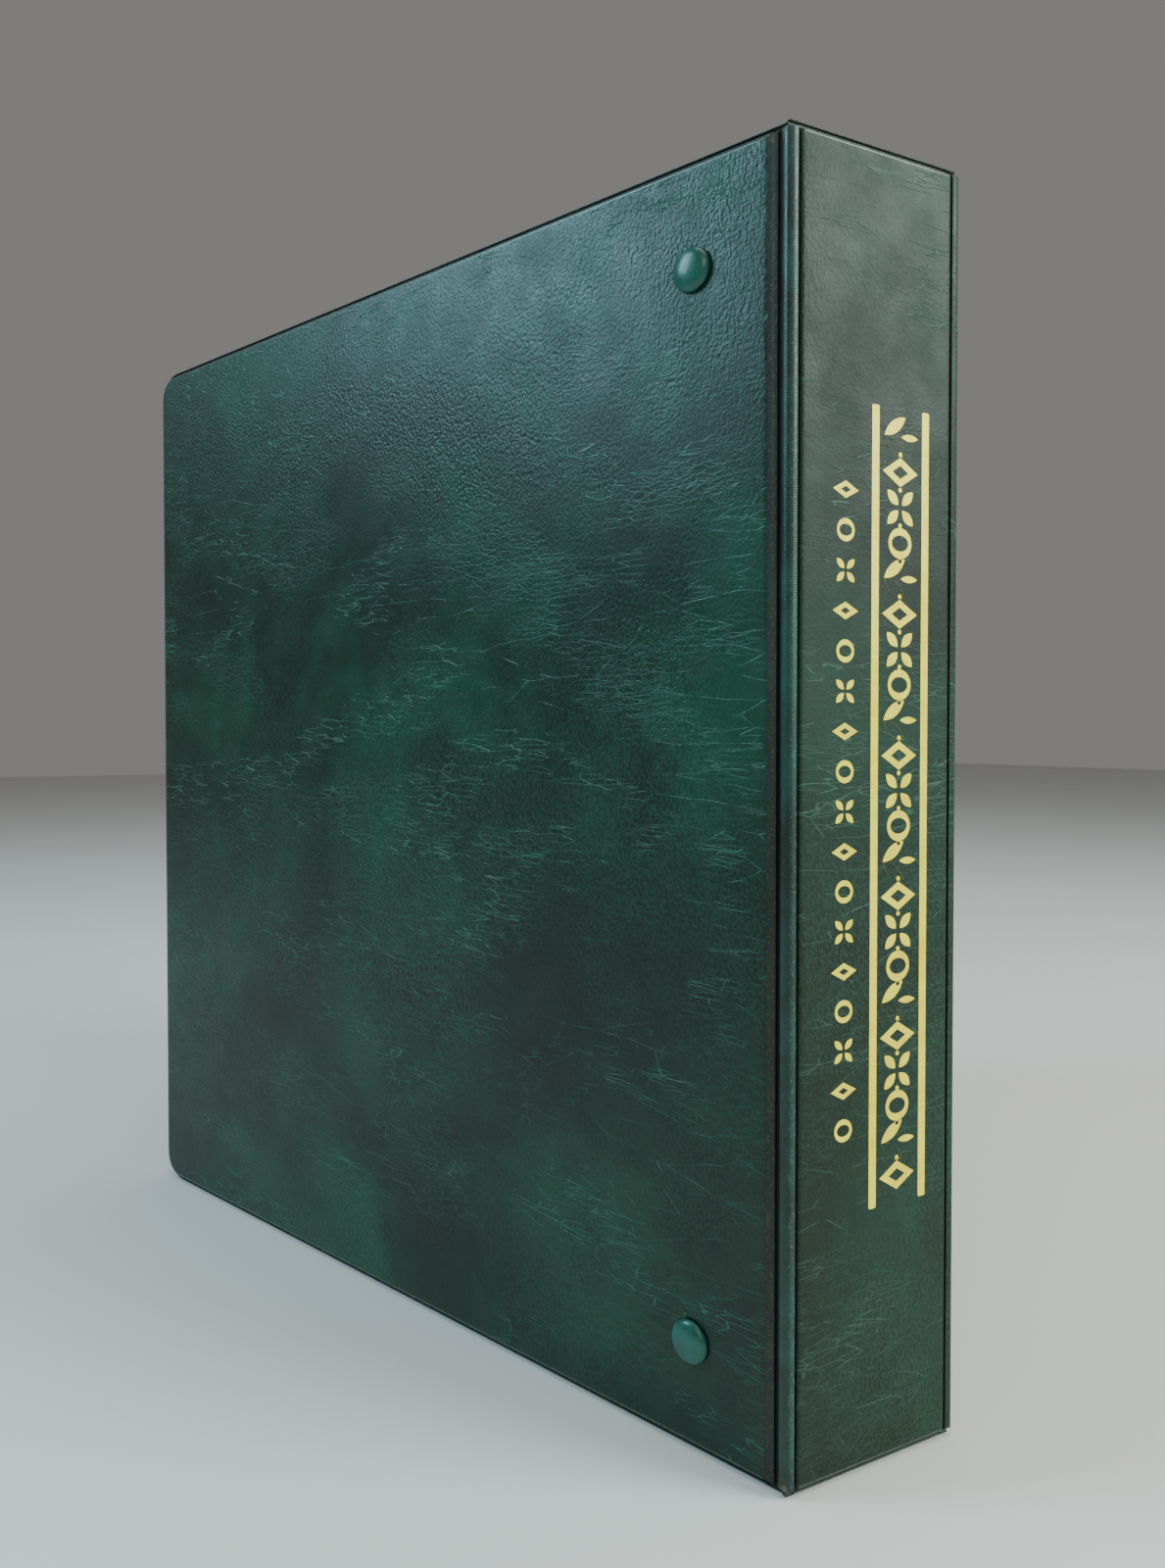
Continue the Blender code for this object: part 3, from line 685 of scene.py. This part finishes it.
def strip_section(cover, spine_along, spine_side, limit):
    """The hinge strip's section: weld band, double groove, round bead, spine band, and a plain inside.

    Near the album's ends limit presses it down to the welded rim.
    """
    spine_out = Vector((0, -1, 0))

    def pressed(points, along_axis, out_axis, sign):
        return [
            cover.origin + along_axis * along * MM + out_axis * sign * min(out * MM, limit)
            for along, out in points
        ]

    outer = pressed(COVER_SIDE, cover.along, cover.out, 1)
    spine = pressed(spine_side, spine_along, spine_out, 1)
    inner = pressed(SPINE_INSIDE, spine_along, spine_out, -1)
    back = pressed(COVER_INSIDE, cover.along, cover.out, -1)
    lip = limit + LIP_OVER_RIM
    outer_arc = arc_between(cover.origin, outer[-1], spine[0], min(BEAD_REACH, lip), ARC_POINTS)
    inner_arc = arc_between(cover.origin, inner[-1], back[0], min(BEAD_RADIUS, lip), ARC_POINTS // 2)
    return outer + outer_arc + spine + inner + inner_arc + back


def strip_slot(row, column, last_row, spine_points):
    """Which of the strip's materials, in the order weld, groove, bead, spine band, a face has. The groove's
    material is painted shade, on the double groove, the line beside the spine and the rims at both ends.
    """
    weld, groove_shade, bead, spine_band = range(4)
    last_bead = len(COVER_SIDE) + ARC_POINTS - 2
    if min(row, last_row - row) in END_GROOVE_ROWS:
        return groove_shade
    if column < len(COVER_SIDE) - 1:
        return groove_shade if column >= GROOVE_COLUMN else weld
    if column <= last_bead:
        return bead
    if column <= last_bead + RIBBED_COLUMNS:
        return spine_band
    return groove_shade if column < last_bead + spine_points else weld


def build_hinge_strip(name, cover, spine_along, spine_side, bead, strip_materials):
    """One soft strip from the cover's panel round the hinge to the spine's, with a rim at both ends."""
    lip, *rim = [(inset * MM, depth * MM) for inset, depth in OUTER_PROFILE[1:] if inset * MM < STRIP_STEP]
    end_rows = [(0.0, lip[1] * 0.9), *rim]
    steps = round(ALBUM_HEIGHT / STRIP_STEP)
    rows = end_rows + [(ALBUM_HEIGHT * i / steps, HALF_THICKNESS) for i in range(2, steps - 1)]
    rows += [(ALBUM_HEIGHT - inset, depth) for inset, depth in reversed(end_rows)]
    rings = []
    for z, limit in rows:
        section = strip_section(cover, spine_along, spine_side, limit)
        rings.append([point + UP * z for point in section])
    bm = bmesh.new()

    def slot_of(row, column):
        return strip_slot(row, column, len(rings) - 2, len(spine_side))

    add_rings(bm, rings, slot_of=slot_of)
    strip = link(name, mesh_from(bm, name))
    soften_edges(strip, 60)
    finish_piece(strip, None, strip_materials[0], "leatherette", [bead])
    for material in strip_materials[1:]:
        strip.data.materials.append(material)
    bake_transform(strip)


# Foil on the spine: two rules, and plain running ornaments in place of wording

RULE_ALONG = (21.6 * MM, 36.45 * MM)
RULE_WIDTH = 2.1 * MM
RULE_HEIGHTS = (58.2 * MM, 235.3 * MM)
BAND_MIDDLE = 28.9 * MM
BAND_HEIGHTS = (60.5 * MM, 233.0 * MM)
BAND_REACH = 5.2 * MM
BAND_GLYPHS = 22
SMALL_BAND_MIDDLE = 13.1 * MM
SMALL_BAND_HEIGHTS = (77 * MM, 216 * MM)
SMALL_BAND_GLYPHS = 17
RING_GLYPH_STEPS = 28
PETAL_STEPS = 16


def rounded_bar(x, y, width, height, radius):
    points = []
    for cx, cy, start in ((1, -1, -90), (1, 1, 0), (-1, 1, 90), (-1, -1, 180)):
        for i in range(5):
            angle = math.radians(start + 90 * i / 4)
            points.append((
                x + cx * (width / 2 - radius) + radius * math.cos(angle),
                y + cy * (height / 2 - radius) + radius * math.sin(angle),
            ))
    return points


def lozenge(x, y, across, tall, hollow):
    outer = [(x + across, y), (x, y + tall), (x - across, y), (x, y - tall)]
    inner = [(x + (a - x) * hollow, y + (b - y) * hollow) for a, b in outer]
    return [outer, inner]


def ring_glyph(x, y, radius):
    """A ring that is thicker at its top and bottom."""
    hole = oval_loop(x, y, 0.72 * radius, 0.52 * radius, RING_GLYPH_STEPS)
    return [circle_loop(x, y, radius, RING_GLYPH_STEPS), hole]


def petal(x, y, angle, length, width):
    shares = [i / PETAL_STEPS for i in range(PETAL_STEPS + 1)]
    points = [(share * length, width * math.sin(math.pi * share) ** 0.8) for share in shares]
    points += [(along, -half) for along, half in points[-2:0:-1]]
    c, s = math.cos(angle), math.sin(angle)
    return [(x + c * a - s * b, y + s * a + c * b) for a, b in points]


def flower(x, y, reach, width):
    loops = []
    for i in range(4):
        angle = math.pi / 4 + math.pi / 2 * i
        start = 0.16 * reach
        foot = (x + start * math.cos(angle), y + start * math.sin(angle))
        loops.append(petal(*foot, angle, 0.84 * reach, width))
    return loops


def sprig(x, y, reach):
    """A pair of leaves on a short stem."""
    loops = [petal(x - 0.9 * reach, y, angle, 1.45 * reach, 0.26 * reach) for angle in (0.62, -0.62)]
    loops.append(petal(x + 0.05 * reach, y, 0.0, 0.95 * reach, 0.15 * reach))
    return loops


def band_loops(middle, reach):
    loops = []
    low, high = BAND_HEIGHTS
    pitch = (high - low) / BAND_GLYPHS
    for i in range(BAND_GLYPHS):
        y = low + pitch * (i + 0.5)
        kind = i % 4
        if kind == 0:
            loops += lozenge(middle, y, reach, 0.62 * reach, 0.46)
        elif kind == 1:
            loops += sprig(middle, y, reach)
        elif kind == 2:
            loops += ring_glyph(middle, y, 0.66 * reach)
        else:
            loops += flower(middle, y, 1.02 * reach, 0.22 * reach)
        if i < BAND_GLYPHS - 1:
            loops.append(circle_loop(middle, y + pitch / 2, 0.10 * reach, 16))
    return loops


def small_band_loops():
    loops = []
    low, high = SMALL_BAND_HEIGHTS
    pitch = (high - low) / (SMALL_BAND_GLYPHS - 1)
    for i in range(SMALL_BAND_GLYPHS):
        y = low + pitch * i
        if i % 3 == 0:
            loops += ring_glyph(SMALL_BAND_MIDDLE, y, 2.5 * MM)
        elif i % 3 == 1:
            loops += lozenge(SMALL_BAND_MIDDLE, y, 3.6 * MM, 1.9 * MM, 0.4)
        else:
            loops += flower(SMALL_BAND_MIDDLE, y, 3.5 * MM, 0.75 * MM)
    return loops


def foil_piece(name, loops, material):
    """Shapes drawn on the spine's face, with half of their thickness pressed into it."""
    mesh = filled_mesh(name, loops, FOIL_HEIGHT * 2)
    matrix = Matrix.Translation(BACK_AXIS) @ Matrix((
        (1, 0, 0, 0),
        (0, 0, -1, -HALF_THICKNESS),
        (0, 1, 0, 0),
        (0, 0, 0, 1),
    ))
    mesh.transform(matrix)
    finish_piece(link(name, mesh), "spine", material, "leatherette")


def build_foil(material):
    for word, along in zip(("left", "right"), RULE_ALONG):
        low, high = RULE_HEIGHTS
        bar = rounded_bar(along, (low + high) / 2, RULE_WIDTH, high - low, 0.4 * MM)
        foil_piece(f"foil_rule_{word}", [bar], material)
    foil_piece("foil_band_large", band_loops(BAND_MIDDLE, BAND_REACH), material)
    foil_piece("foil_band_small", small_band_loops(), material)


# Rivets and ring mechanism, in the back cover's frame


def back_matrix(share=0.0):
    """From the back cover's frame, or a leaf's that has given back a share of the cover's splay."""
    cover = Matrix.Translation(BACK_AXIS) @ Matrix.Rotation(SPLAY, 4, "Z")
    centre = mechanism(*RING_CENTRE, 0)
    swing = Matrix.Translation(centre) @ Matrix.Rotation(-share * SPLAY, 4, "Z") @ Matrix.Translation(-centre)
    return cover @ swing


def mechanism(across, rise, up):
    return Vector((HALF_THICKNESS + rise, RIVET_ALONG + across, up))


def turned(name, profile, up):
    """A piece turned about a rivet's axis from (radius, rise) pairs in mm."""
    rings = []
    for radius, rise in profile:
        ring = []
        for i in range(TURN_STEPS):
            angle = 2 * math.pi * i / TURN_STEPS
            across = radius * MM * math.cos(angle)
            ring.append(mechanism(across, rise * MM, up + radius * MM * math.sin(angle)))
        rings.append(ring)
    bm = bmesh.new()
    add_rings(bm, rings)
    mesh = mesh_from(bm, name)
    mesh.transform(back_matrix())
    return mesh


# The rivet's (radius, rise) sizes in mm. Rise is measured from the cover's inner face.
HEAD_SEAT = -4.05
HEAD_RADIUS = 5.0
HEAD_DOME = 1.8
HEAD_ROLL = 0.25
HEAD_STEPS = 14
TURN_STEPS = 48
SHANK_PROFILE = ((1.9, HEAD_SEAT), (1.9, 8.35), (1.75, 8.5), (1.2, 8.5))


def rivet_profile():
    """A domed head with a rolled edge, then the shank up through the cover and the housing."""
    roll = HEAD_SEAT - HEAD_ROLL
    profile = []
    for i in range(HEAD_STEPS):
        angle = math.radians(90) * (i + 0.3) / HEAD_STEPS
        profile.append((HEAD_RADIUS * math.sin(angle) ** 0.92, roll - HEAD_DOME * math.cos(angle)))
    profile += [(HEAD_RADIUS, roll), (HEAD_RADIUS - 0.05, HEAD_SEAT - 0.08)]
    return [*profile, (HEAD_RADIUS - HEAD_ROLL, HEAD_SEAT), *SHANK_PROFILE]


def build_rivets(materials):
    for word, up in zip(("lower", "upper"), RIVET_HEIGHTS):
        head = link(word + "_rivet_head", turned(word, rivet_profile(), up))
        finish_piece(head, "back_cover", materials["enamel"], "rivet_paint", [word + "_rivet"])
        soften_edges(head, 50)


def ring_angles():
    """Where the post half and the curved half of a ring end, on the ring's circle."""
    half_gap = RING_SPLIT_GAP / RING_RADIUS
    split = math.acos(-RING_CENTRE[0] / RING_RADIUS)
    return split - half_gap, split + half_gap


def ring_half_path(side):
    """Middle line of a ring half in (across, rise); 1 is the straight post, -1 the curved half."""
    foot_end = RING_FOOT_RISE + RING_FOOT_LENGTH
    centre_across, centre_rise = RING_CENTRE
    low_split, high_split = ring_angles()
    if side > 0:
        start, end = 0.0, low_split
    else:
        across = -RING_POST - centre_across
        rise = foot_end - centre_rise
        tangent = math.acos(RING_RADIUS / math.hypot(across, rise))
        start = math.atan2(rise, across) % (2 * math.pi) - tangent
        end = high_split
    path = [(side * RING_POST, RING_FOOT_RISE), (side * RING_POST, foot_end)]
    for i in range(RING_STEPS + 1):
        angle = start + (end - start) * i / RING_STEPS
        across = centre_across + RING_RADIUS * math.cos(angle)
        path.append((across, centre_rise + RING_RADIUS * math.sin(angle)))
    return path


def build_rings(material):
    for side, word in ((1, "post"), (-1, "curve")):
        path = ring_half_path(side)
        for height in ("lower", "middle", "upper"):
            node = f"{height}_ring_{word}_half"
            low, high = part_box(node)
            up = (low.z + high.z) / 2
            curve = bpy.data.curves.new(node + "_wire", "CURVE")
            curve.dimensions = "3D"
            curve.bevel_depth = WIRE_RADIUS
            curve.bevel_resolution = 8
            curve.use_fill_caps = True
            spline = curve.splines.new("POLY")
            spline.points.add(len(path) - 1)
            for point, (across, rise) in zip(spline.points, path):
                point.co = (*(back_matrix() @ mechanism(across, rise, up)), 1)
            spline.use_smooth = True
            wire = link(node + "_wire", curve)
            finish_piece(wire, f"{word}_ring_side", material, "ring_wire", [node])


# Leaves

# share is how much of the cover's splay it gives back; rise, thickness and width are in mm.
Sheet = namedtuple("Sheet", "node body share rise thickness width count slot")
SHEETS = (
    Sheet("rear_sheet_lifter", "back_cover", 0, 8.8, 0.8, 95, 1, "lifter"),
    Sheet("rear_leaf_pack", "back_cover", 0, 9.9, 5.0, 216, 13, "paper"),
    Sheet("lower_leaf_pack", "lower_leaves", 1 / 3, 15.2, 3.0, 216, 8, "paper"),
    Sheet("middle_leaf_pack", "middle_leaves", 2 / 3, 18.5, 3.0, 216, 8, "paper"),
    Sheet("upper_leaf_pack", "front_leaves", 1, 21.8, 3.0, 216, 8, "paper"),
    Sheet("title_leaf", "front_leaves", 1, 25.1, 0.4, 216, 1, "paper"),
    Sheet("front_sheet_lifter", "front_leaves", 1, 25.8, 0.8, 95, 1, "lifter"),
)
RING_HEIGHTS = [ALBUM_HEIGHT / 2 + i * RING_SPACING for i in (-1, 0, 1)]
LEAF_GAP = 0.04 * MM
LEAF_SHIFT = 0.35 * MM


def binding_edge(sheet):
    """Across-place of the sheet's edge at the rings; its holes sit against the inner side of the wire."""
    middle = (sheet.rise + sheet.thickness / 2) * MM
    wire = RING_POST
    if sheet.share:
        wire = RING_CENTRE[0] + math.sqrt(RING_RADIUS**2 - (middle - RING_CENTRE[1]) ** 2)
    return wire + HOLE_OFFSET - LEAF_MARGIN


def sheet_matrix(sheet, across, rise, up):
    """A plate drawn in (across, up) put at a place on a sheet."""
    flat = Matrix(((0, 0, 1, 0), (1, 0, 0, 0), (0, 1, 0, 0), (0, 0, 0, 1)))
    return back_matrix(sheet.share) @ Matrix.Translation(mechanism(across, rise, up)) @ flat


def leaf_loops(width, corner):
    low = (ALBUM_HEIGHT - LEAF_HEIGHT) / 2
    body = rounded_bar(width / 2, low + LEAF_HEIGHT / 2, width, LEAF_HEIGHT, corner)
    return [body, *[circle_loop(LEAF_MARGIN, up, LEAF_HOLE, 24) for up in RING_HEIGHTS]]


def lifter_loops(width, corner):
    """A sheet lifter's holes are slots, so that it slides on the rings as they open."""
    body = leaf_loops(width, corner)[0]
    slots = [
        rounded_bar(LEAF_MARGIN, up, 2 * LEAF_HOLE + LIFTER_SLIDE, 2 * LEAF_HOLE, LEAF_HOLE - 0.05 * MM)
        for up in RING_HEIGHTS
    ]
    return [body, *slots]


def build_sheet(sheet, material, draw):
    width = sheet.width * MM
    thickness = sheet.thickness * MM / sheet.count - (LEAF_GAP if sheet.count > 1 else 0)
    if sheet.slot == "lifter":
        loops = lifter_loops(width, 4 * MM)
    else:
        loops = leaf_loops(width, 1.2 * MM)
    leaf = filled_mesh(sheet.node + "_one", loops, thickness)
    parts = []
    for i in range(sheet.count):
        rise = (sheet.rise + sheet.thickness * (i + 0.5) / sheet.count) * MM
        slide = draw.uniform(-1, 0) * LEAF_SHIFT if sheet.count > 1 else 0
        lift = draw.uniform(-1, 1) * LEAF_SHIFT if sheet.count > 1 else 0
        parts.append((leaf, sheet_matrix(sheet, binding_edge(sheet) + slide, rise, lift)))
    name = sheet.node + ("_leaves" if sheet.count > 1 else "_sheet")
    piece = link(name, joined_mesh(name, parts))
    finish_piece(piece, sheet.body, material, sheet.slot, [sheet.node])


def perforated(x, y, width, height, pitch, bite):
    """A stamp's outline with its row of half-round bites on each side."""
    points = []
    sides = (((-1, -1), (1, -1)), ((1, -1), (1, 1)), ((1, 1), (-1, 1)), ((-1, 1), (-1, -1)))
    for (sx, sy), (ex, ey) in sides:
        start = Vector((x + sx * width / 2, y + sy * height / 2))
        end = Vector((x + ex * width / 2, y + ey * height / 2))
        way = (end - start).normalized()
        inward = Vector((-way.y, way.x))
        length = (end - start).length
        count = round(length / pitch)
        points.append(tuple(start))
        for i in range(count):
            middle = start + way * length * (i + 0.5) / count
            for k in range(5):
                angle = math.pi * k / 4
                spot = middle - way * bite * math.cos(angle) + inward * bite * math.sin(angle)
                points.append(tuple(spot))
    return points


def drawn(shape, x, y, size):
    return [(x + size * a, y + size * b) for a, b in shape]


def emblem(kind, x, y, size):
    """Plain generic pictures for the stamps: hills under a sun, a leaf, a star, a sailing boat."""
    if kind == 0:
        hills = [(-1, -1), (1, -1), (1, -0.2), (0.45, 0.35), (0.15, -0.1), (-0.35, 0.6), (-1, -0.3)]
        return [drawn(hills, x, y, size), circle_loop(x + 0.5 * size, y + 0.75 * size, 0.22 * size, 20)]
    if kind == 1:
        return [petal(x - 0.8 * size, y - 0.8 * size, math.pi / 4, 2.2 * size, 0.5 * size)]
    if kind == 2:
        star = []
        for i in range(10):
            angle = math.pi / 2 + math.pi * i / 5
            reach = 1.0 if i % 2 == 0 else 0.42
            star.append((reach * math.cos(angle), reach * math.sin(angle)))
        return [drawn(star, x, y, size)]
    hull = [(-0.9, -0.55), (0.9, -0.55), (0.6, -0.95), (-0.6, -0.95)]
    sail = [(-0.05, -0.4), (-0.05, 1.0), (-0.75, -0.4)]
    jib = [(0.1, -0.4), (0.1, 0.7), (0.7, -0.4)]
    return [drawn(shape, x, y, size) for shape in (hull, sail, jib)]


STAMP_SHEETS = ("rear_leaf_pack", "lower_leaf_pack", "middle_leaf_pack")
STAMP_ACROSS = (58, 110, 162)
STAMP_UP = (52, 112, 172, 232)
STAMP_SIDES = (26, 34)
PAGE_FRAME = (110 * MM, ALBUM_HEIGHT / 2, 176 * MM, 262 * MM)
PERFORATION = (1.6 * MM, 0.45 * MM)
EMPTY_SHARE = 0.2
FRAME_LINE = 0.5 * MM
SPACE_LINE = 0.35 * MM
STAMP_HEIGHT = 0.09 * MM
PRINT_HEIGHT = 0.04 * MM


def frame_loops(x, y, width, height, line):
    outer = rounded_bar(x, y, width, height, 0.1 * MM)
    inner = rounded_bar(x, y, width - 2 * line, height - 2 * line, 0.05 * MM)
    return [outer, inner]


def lay_print(sheet, name, loops, height, low, material):
    """Printed or pasted shapes on a sheet's upper face, with their underside at low above it."""
    mesh = filled_mesh(name, loops, height)
    rise = (sheet.rise + sheet.thickness) * MM + low + height / 2
    mesh.transform(sheet_matrix(sheet, binding_edge(sheet), rise, 0))
    finish_piece(link(name, mesh), sheet.body, material, "paper")


def build_stamps(materials, draw):
    """Printed spaces on the pages that open to view, most of them filled with a stamp."""
    inks = [materials[name] for name in INKS if name != "ink_black"]
    for sheet in (s for s in SHEETS if s.node in STAMP_SHEETS):
        lines = frame_loops(*PAGE_FRAME, FRAME_LINE)
        paper_parts, prints = [], [[] for _ in inks]
        for row, up in enumerate(STAMP_UP):
            for column, across in enumerate(STAMP_ACROSS):
                upright = (row + column) % 3
                wide, tall = STAMP_SIDES if upright else STAMP_SIDES[::-1]
                x, y = across * MM, up * MM
                lines += frame_loops(x, y, (wide + 5) * MM, (tall + 5) * MM, SPACE_LINE)
                if draw.random() < EMPTY_SHARE:
                    continue
                shade = draw.randrange(len(inks))
                stamp = perforated(x, y, wide * MM, tall * MM, *PERFORATION)
                paper_parts.append(stamp)
                picture = frame_loops(x, y, (wide - 4) * MM, (tall - 4) * MM, 1.0 * MM)
                prints[shade] += picture + emblem(draw.randrange(4), x, y, min(wide, tall) * 0.3 * MM)
        word = sheet.node.replace("_leaf_pack", "")
        lay_print(sheet, word + "_page_lines", lines, PRINT_HEIGHT, 0.0, materials["ink_black"])
        lay_print(sheet, word + "_stamps", paper_parts, STAMP_HEIGHT, 0.0, materials["stamp_paper"])
        for i, loops in enumerate(prints):
            if loops:
                lay_print(sheet, f"{word}_prints_{i}", loops, PRINT_HEIGHT / 2, STAMP_HEIGHT, inks[i])


def build_title_border(material):
    """The title leaf has a plain double border and a flower in a lozenge, and no wording."""
    sheet = next(s for s in SHEETS if s.node == "title_leaf")
    middle_a, middle_z = 116 * MM, ALBUM_HEIGHT / 2
    loops = frame_loops(middle_a, middle_z, 170 * MM, 250 * MM, 1.2 * MM)
    loops += frame_loops(middle_a, middle_z, 164 * MM, 244 * MM, 0.5 * MM)
    loops += flower(middle_a, middle_z, 22 * MM, 5 * MM)
    loops += lozenge(middle_a, middle_z, 40 * MM, 40 * MM, 0.94)
    lay_print(sheet, "title_border", loops, PRINT_HEIGHT, 0.0, material)


# CAD nodes that keep their own shape


def dress_nodes(materials):
    """Boards and steel parts show the CAD's own mesh, and a bevel breaks the steel's sharp edges."""
    wanted = {
        "steel": ["ring_housing", "post_blade", "curve_blade"],
        "board": ["back_cover_board", "front_cover_board", "spine_board"],
    }
    for word in ("upper", "lower"):
        wanted["steel"] += [word + "_lever", word + "_lever_pin", word + "_rivet_burr"]
    for slot, names in wanted.items():
        for name in names:
            node = frame["nodes"][name]
            for place in node.material_slots:
                place.material = materials[slot]
            weld = node.modifiers.new("weld", "WELD")
            weld.merge_threshold = 0.01 * MM
            if slot == "steel":
                bevel = node.modifiers.new("edges", "BEVEL")
                bevel.width = 0.22 * MM
                bevel.segments = 2
                bevel.limit_method = "ANGLE"
                bevel.angle_limit = math.radians(40)


# Camera, light and floor

LENS = 26.775
LENS_SHIFT = -0.021
CAMERA_FROM_CORNER = Vector((-0.1576, -0.1921, 0.1647))
CAMERA_DROP_DEG = 1.15
CAMERA_TURN_DEG = -29.28

Light = namedtuple("Light", "name place target size watts colour")
LIGHTS = (
    Light("overhead", (0.1, -0.2, 1.5), (0, 0, 0.1), (1.2, 1.2), 12, (1.0, 0.97, 0.93)),
    Light("window", (-1.06, 0.46, 0.94), (-0.05, -0.02, 0.27), (0.45, 0.7), 13, (0.46, 0.84, 1.0)),
    Light("left", (-1.0, -1.15, 1.0), (-0.05, 0, 0.15), (0.8, 0.8), 7, (1.0, 0.98, 0.95)),
    Light("front", (0.80, -0.98, 0.82), (0, -0.12, 0.20), (0.55, 0.9), 22, (0.86, 1.0, 0.94)),
)
AIR_COLOUR = (0.80, 0.79, 0.77, 1)
AIR_STRENGTH = 0.26
FLOOR_HALF = 4
FLOOR_GAP = 0.2 * MM


def build_camera():
    """Stands off the back hinge's lower end, and sees the spine and the back cover."""
    data = bpy.data.cameras.new("photo_camera")
    data.lens = LENS
    data.shift_y = LENS_SHIFT
    data.clip_start = 0.01
    camera = link("photo_camera", data)
    corner = Vector((BACK_AXIS.x - BEAD_RADIUS, BACK_AXIS.y - BEAD_RADIUS, 0))
    camera.location = corner + CAMERA_FROM_CORNER
    camera.rotation_euler = (math.radians(90 - CAMERA_DROP_DEG), 0, math.radians(CAMERA_TURN_DEG))
    bpy.context.scene.camera = camera


def add_light(light):
    data = bpy.data.lights.new(light.name, "AREA")
    data.shape = "RECTANGLE"
    data.size, data.size_y = light.size
    data.energy = light.watts
    data.color = light.colour
    lamp = link(light.name, data)
    lamp.location = light.place
    lamp.rotation_euler = (Vector(light.target) - Vector(light.place)).to_track_quat("-Z", "Y").to_euler()


def build_stage():
    bm = bmesh.new()
    bmesh.ops.create_grid(bm, x_segments=8, y_segments=8, size=FLOOR_HALF)
    floor = link("floor", mesh_from(bm, "floor"))
    floor.location.z = -FLOOR_GAP
    floor.data.materials.append(pale_floor())
    world = bpy.data.worlds.new("studio")
    world.use_nodes = True
    back = world.node_tree.nodes["Background"]
    back.inputs["Color"].default_value = AIR_COLOUR
    back.inputs["Strength"].default_value = AIR_STRENGTH
    bpy.context.scene.world = world
    for light in LIGHTS:
        add_light(light)


def make_materials():
    return {
        "back_cover": cover_vinyl("back_cover_vinyl"),
        "front_cover": cover_vinyl("front_cover_vinyl"),
        "spine": spine_vinyl(),
        "lining": lining_vinyl(),
        "weld": weld_vinyl("weld_vinyl", WELD_TONES, (0.075, 0.080, 0.050), 0.46),
        "bead": weld_vinyl("bead_vinyl", BEAD_TONES, (0.030, 0.060, 0.045), 0.28),
        # The ribbed band's tones and pale bluish specks are partly a painted reflection of the blue window
        # light.
        "ribs": weld_vinyl("ribbed_vinyl", RIB_TONES_AND_REFLECTION, (0.100, 0.170, 0.160), 0.34),
        "groove_shade": weld_groove(),
        "edge": worn_edge(),
        "enamel": enamel(),
        "steel": metal("nickel_steel", (0.58, 0.57, 0.55), 0.22, 0.4),
        "wire": metal("bright_wire", (0.74, 0.73, 0.71), 0.10, 0.2),
        "foil": foil(),
        "paper": paper("leaf_paper", (0.80, 0.76, 0.66)),
        "stamp_paper": paper("stamp_paper", (0.86, 0.84, 0.78)),
        "lifter": plastic(),
        "board": chipboard(),
        **{name: ink(name, colour) for name, colour in INKS.items()},
    }


def make_panels():
    s, c = math.sin(SPLAY), math.cos(SPLAY)
    cover_size = (COVER_JACKET_START, COVER_END, FORE_EDGE_CORNER, False)
    back, front = [
        Panel(name, name, axis, Vector((side * s, c, 0)), Vector((side * c, -s, 0)), *cover_size)
        for name, axis, side in (("back_cover", BACK_AXIS, -1), ("front_cover", FRONT_AXIS, 1))
    ]
    spine_end = AXIS_SPACING - SPINE_JACKET_START
    spine_size = (SPINE_JACKET_START, spine_end, NEAR_CORNER, True)
    spine = Panel("spine", "spine", BACK_AXIS, Vector((1, 0, 0)), Vector((0, -1, 0)), *spine_size)
    return back, front, spine


def build():
    draw = random.Random(SEED)
    materials = make_materials()
    back, front, spine = make_panels()
    build_jackets((back, front, spine), materials)
    back_bands = [materials[key] for key in ("weld", "groove_shade", "bead", "ribs")]
    front_bands = [materials[key] for key in ("weld", "groove_shade", "bead", "spine")]
    build_hinge_strip("back_hinge_strip", back, Vector((1, 0, 0)), SPINE_SIDE, "back_hinge_bead", back_bands)
    build_hinge_strip(
        "front_hinge_strip", front, Vector((-1, 0, 0)), FLUSH_SPINE_SIDE, "front_hinge_bead", front_bands,
    )
    build_foil(materials["foil"])
    build_rivets(materials)
    build_rings(materials["wire"])
    for sheet in SHEETS:
        build_sheet(sheet, materials[sheet.slot], draw)
    build_stamps(materials, draw)
    build_title_border(materials["ink_black"])
    dress_nodes(materials)
    build_camera()
    build_stage()


build()

bpy.context.view_layer.update()
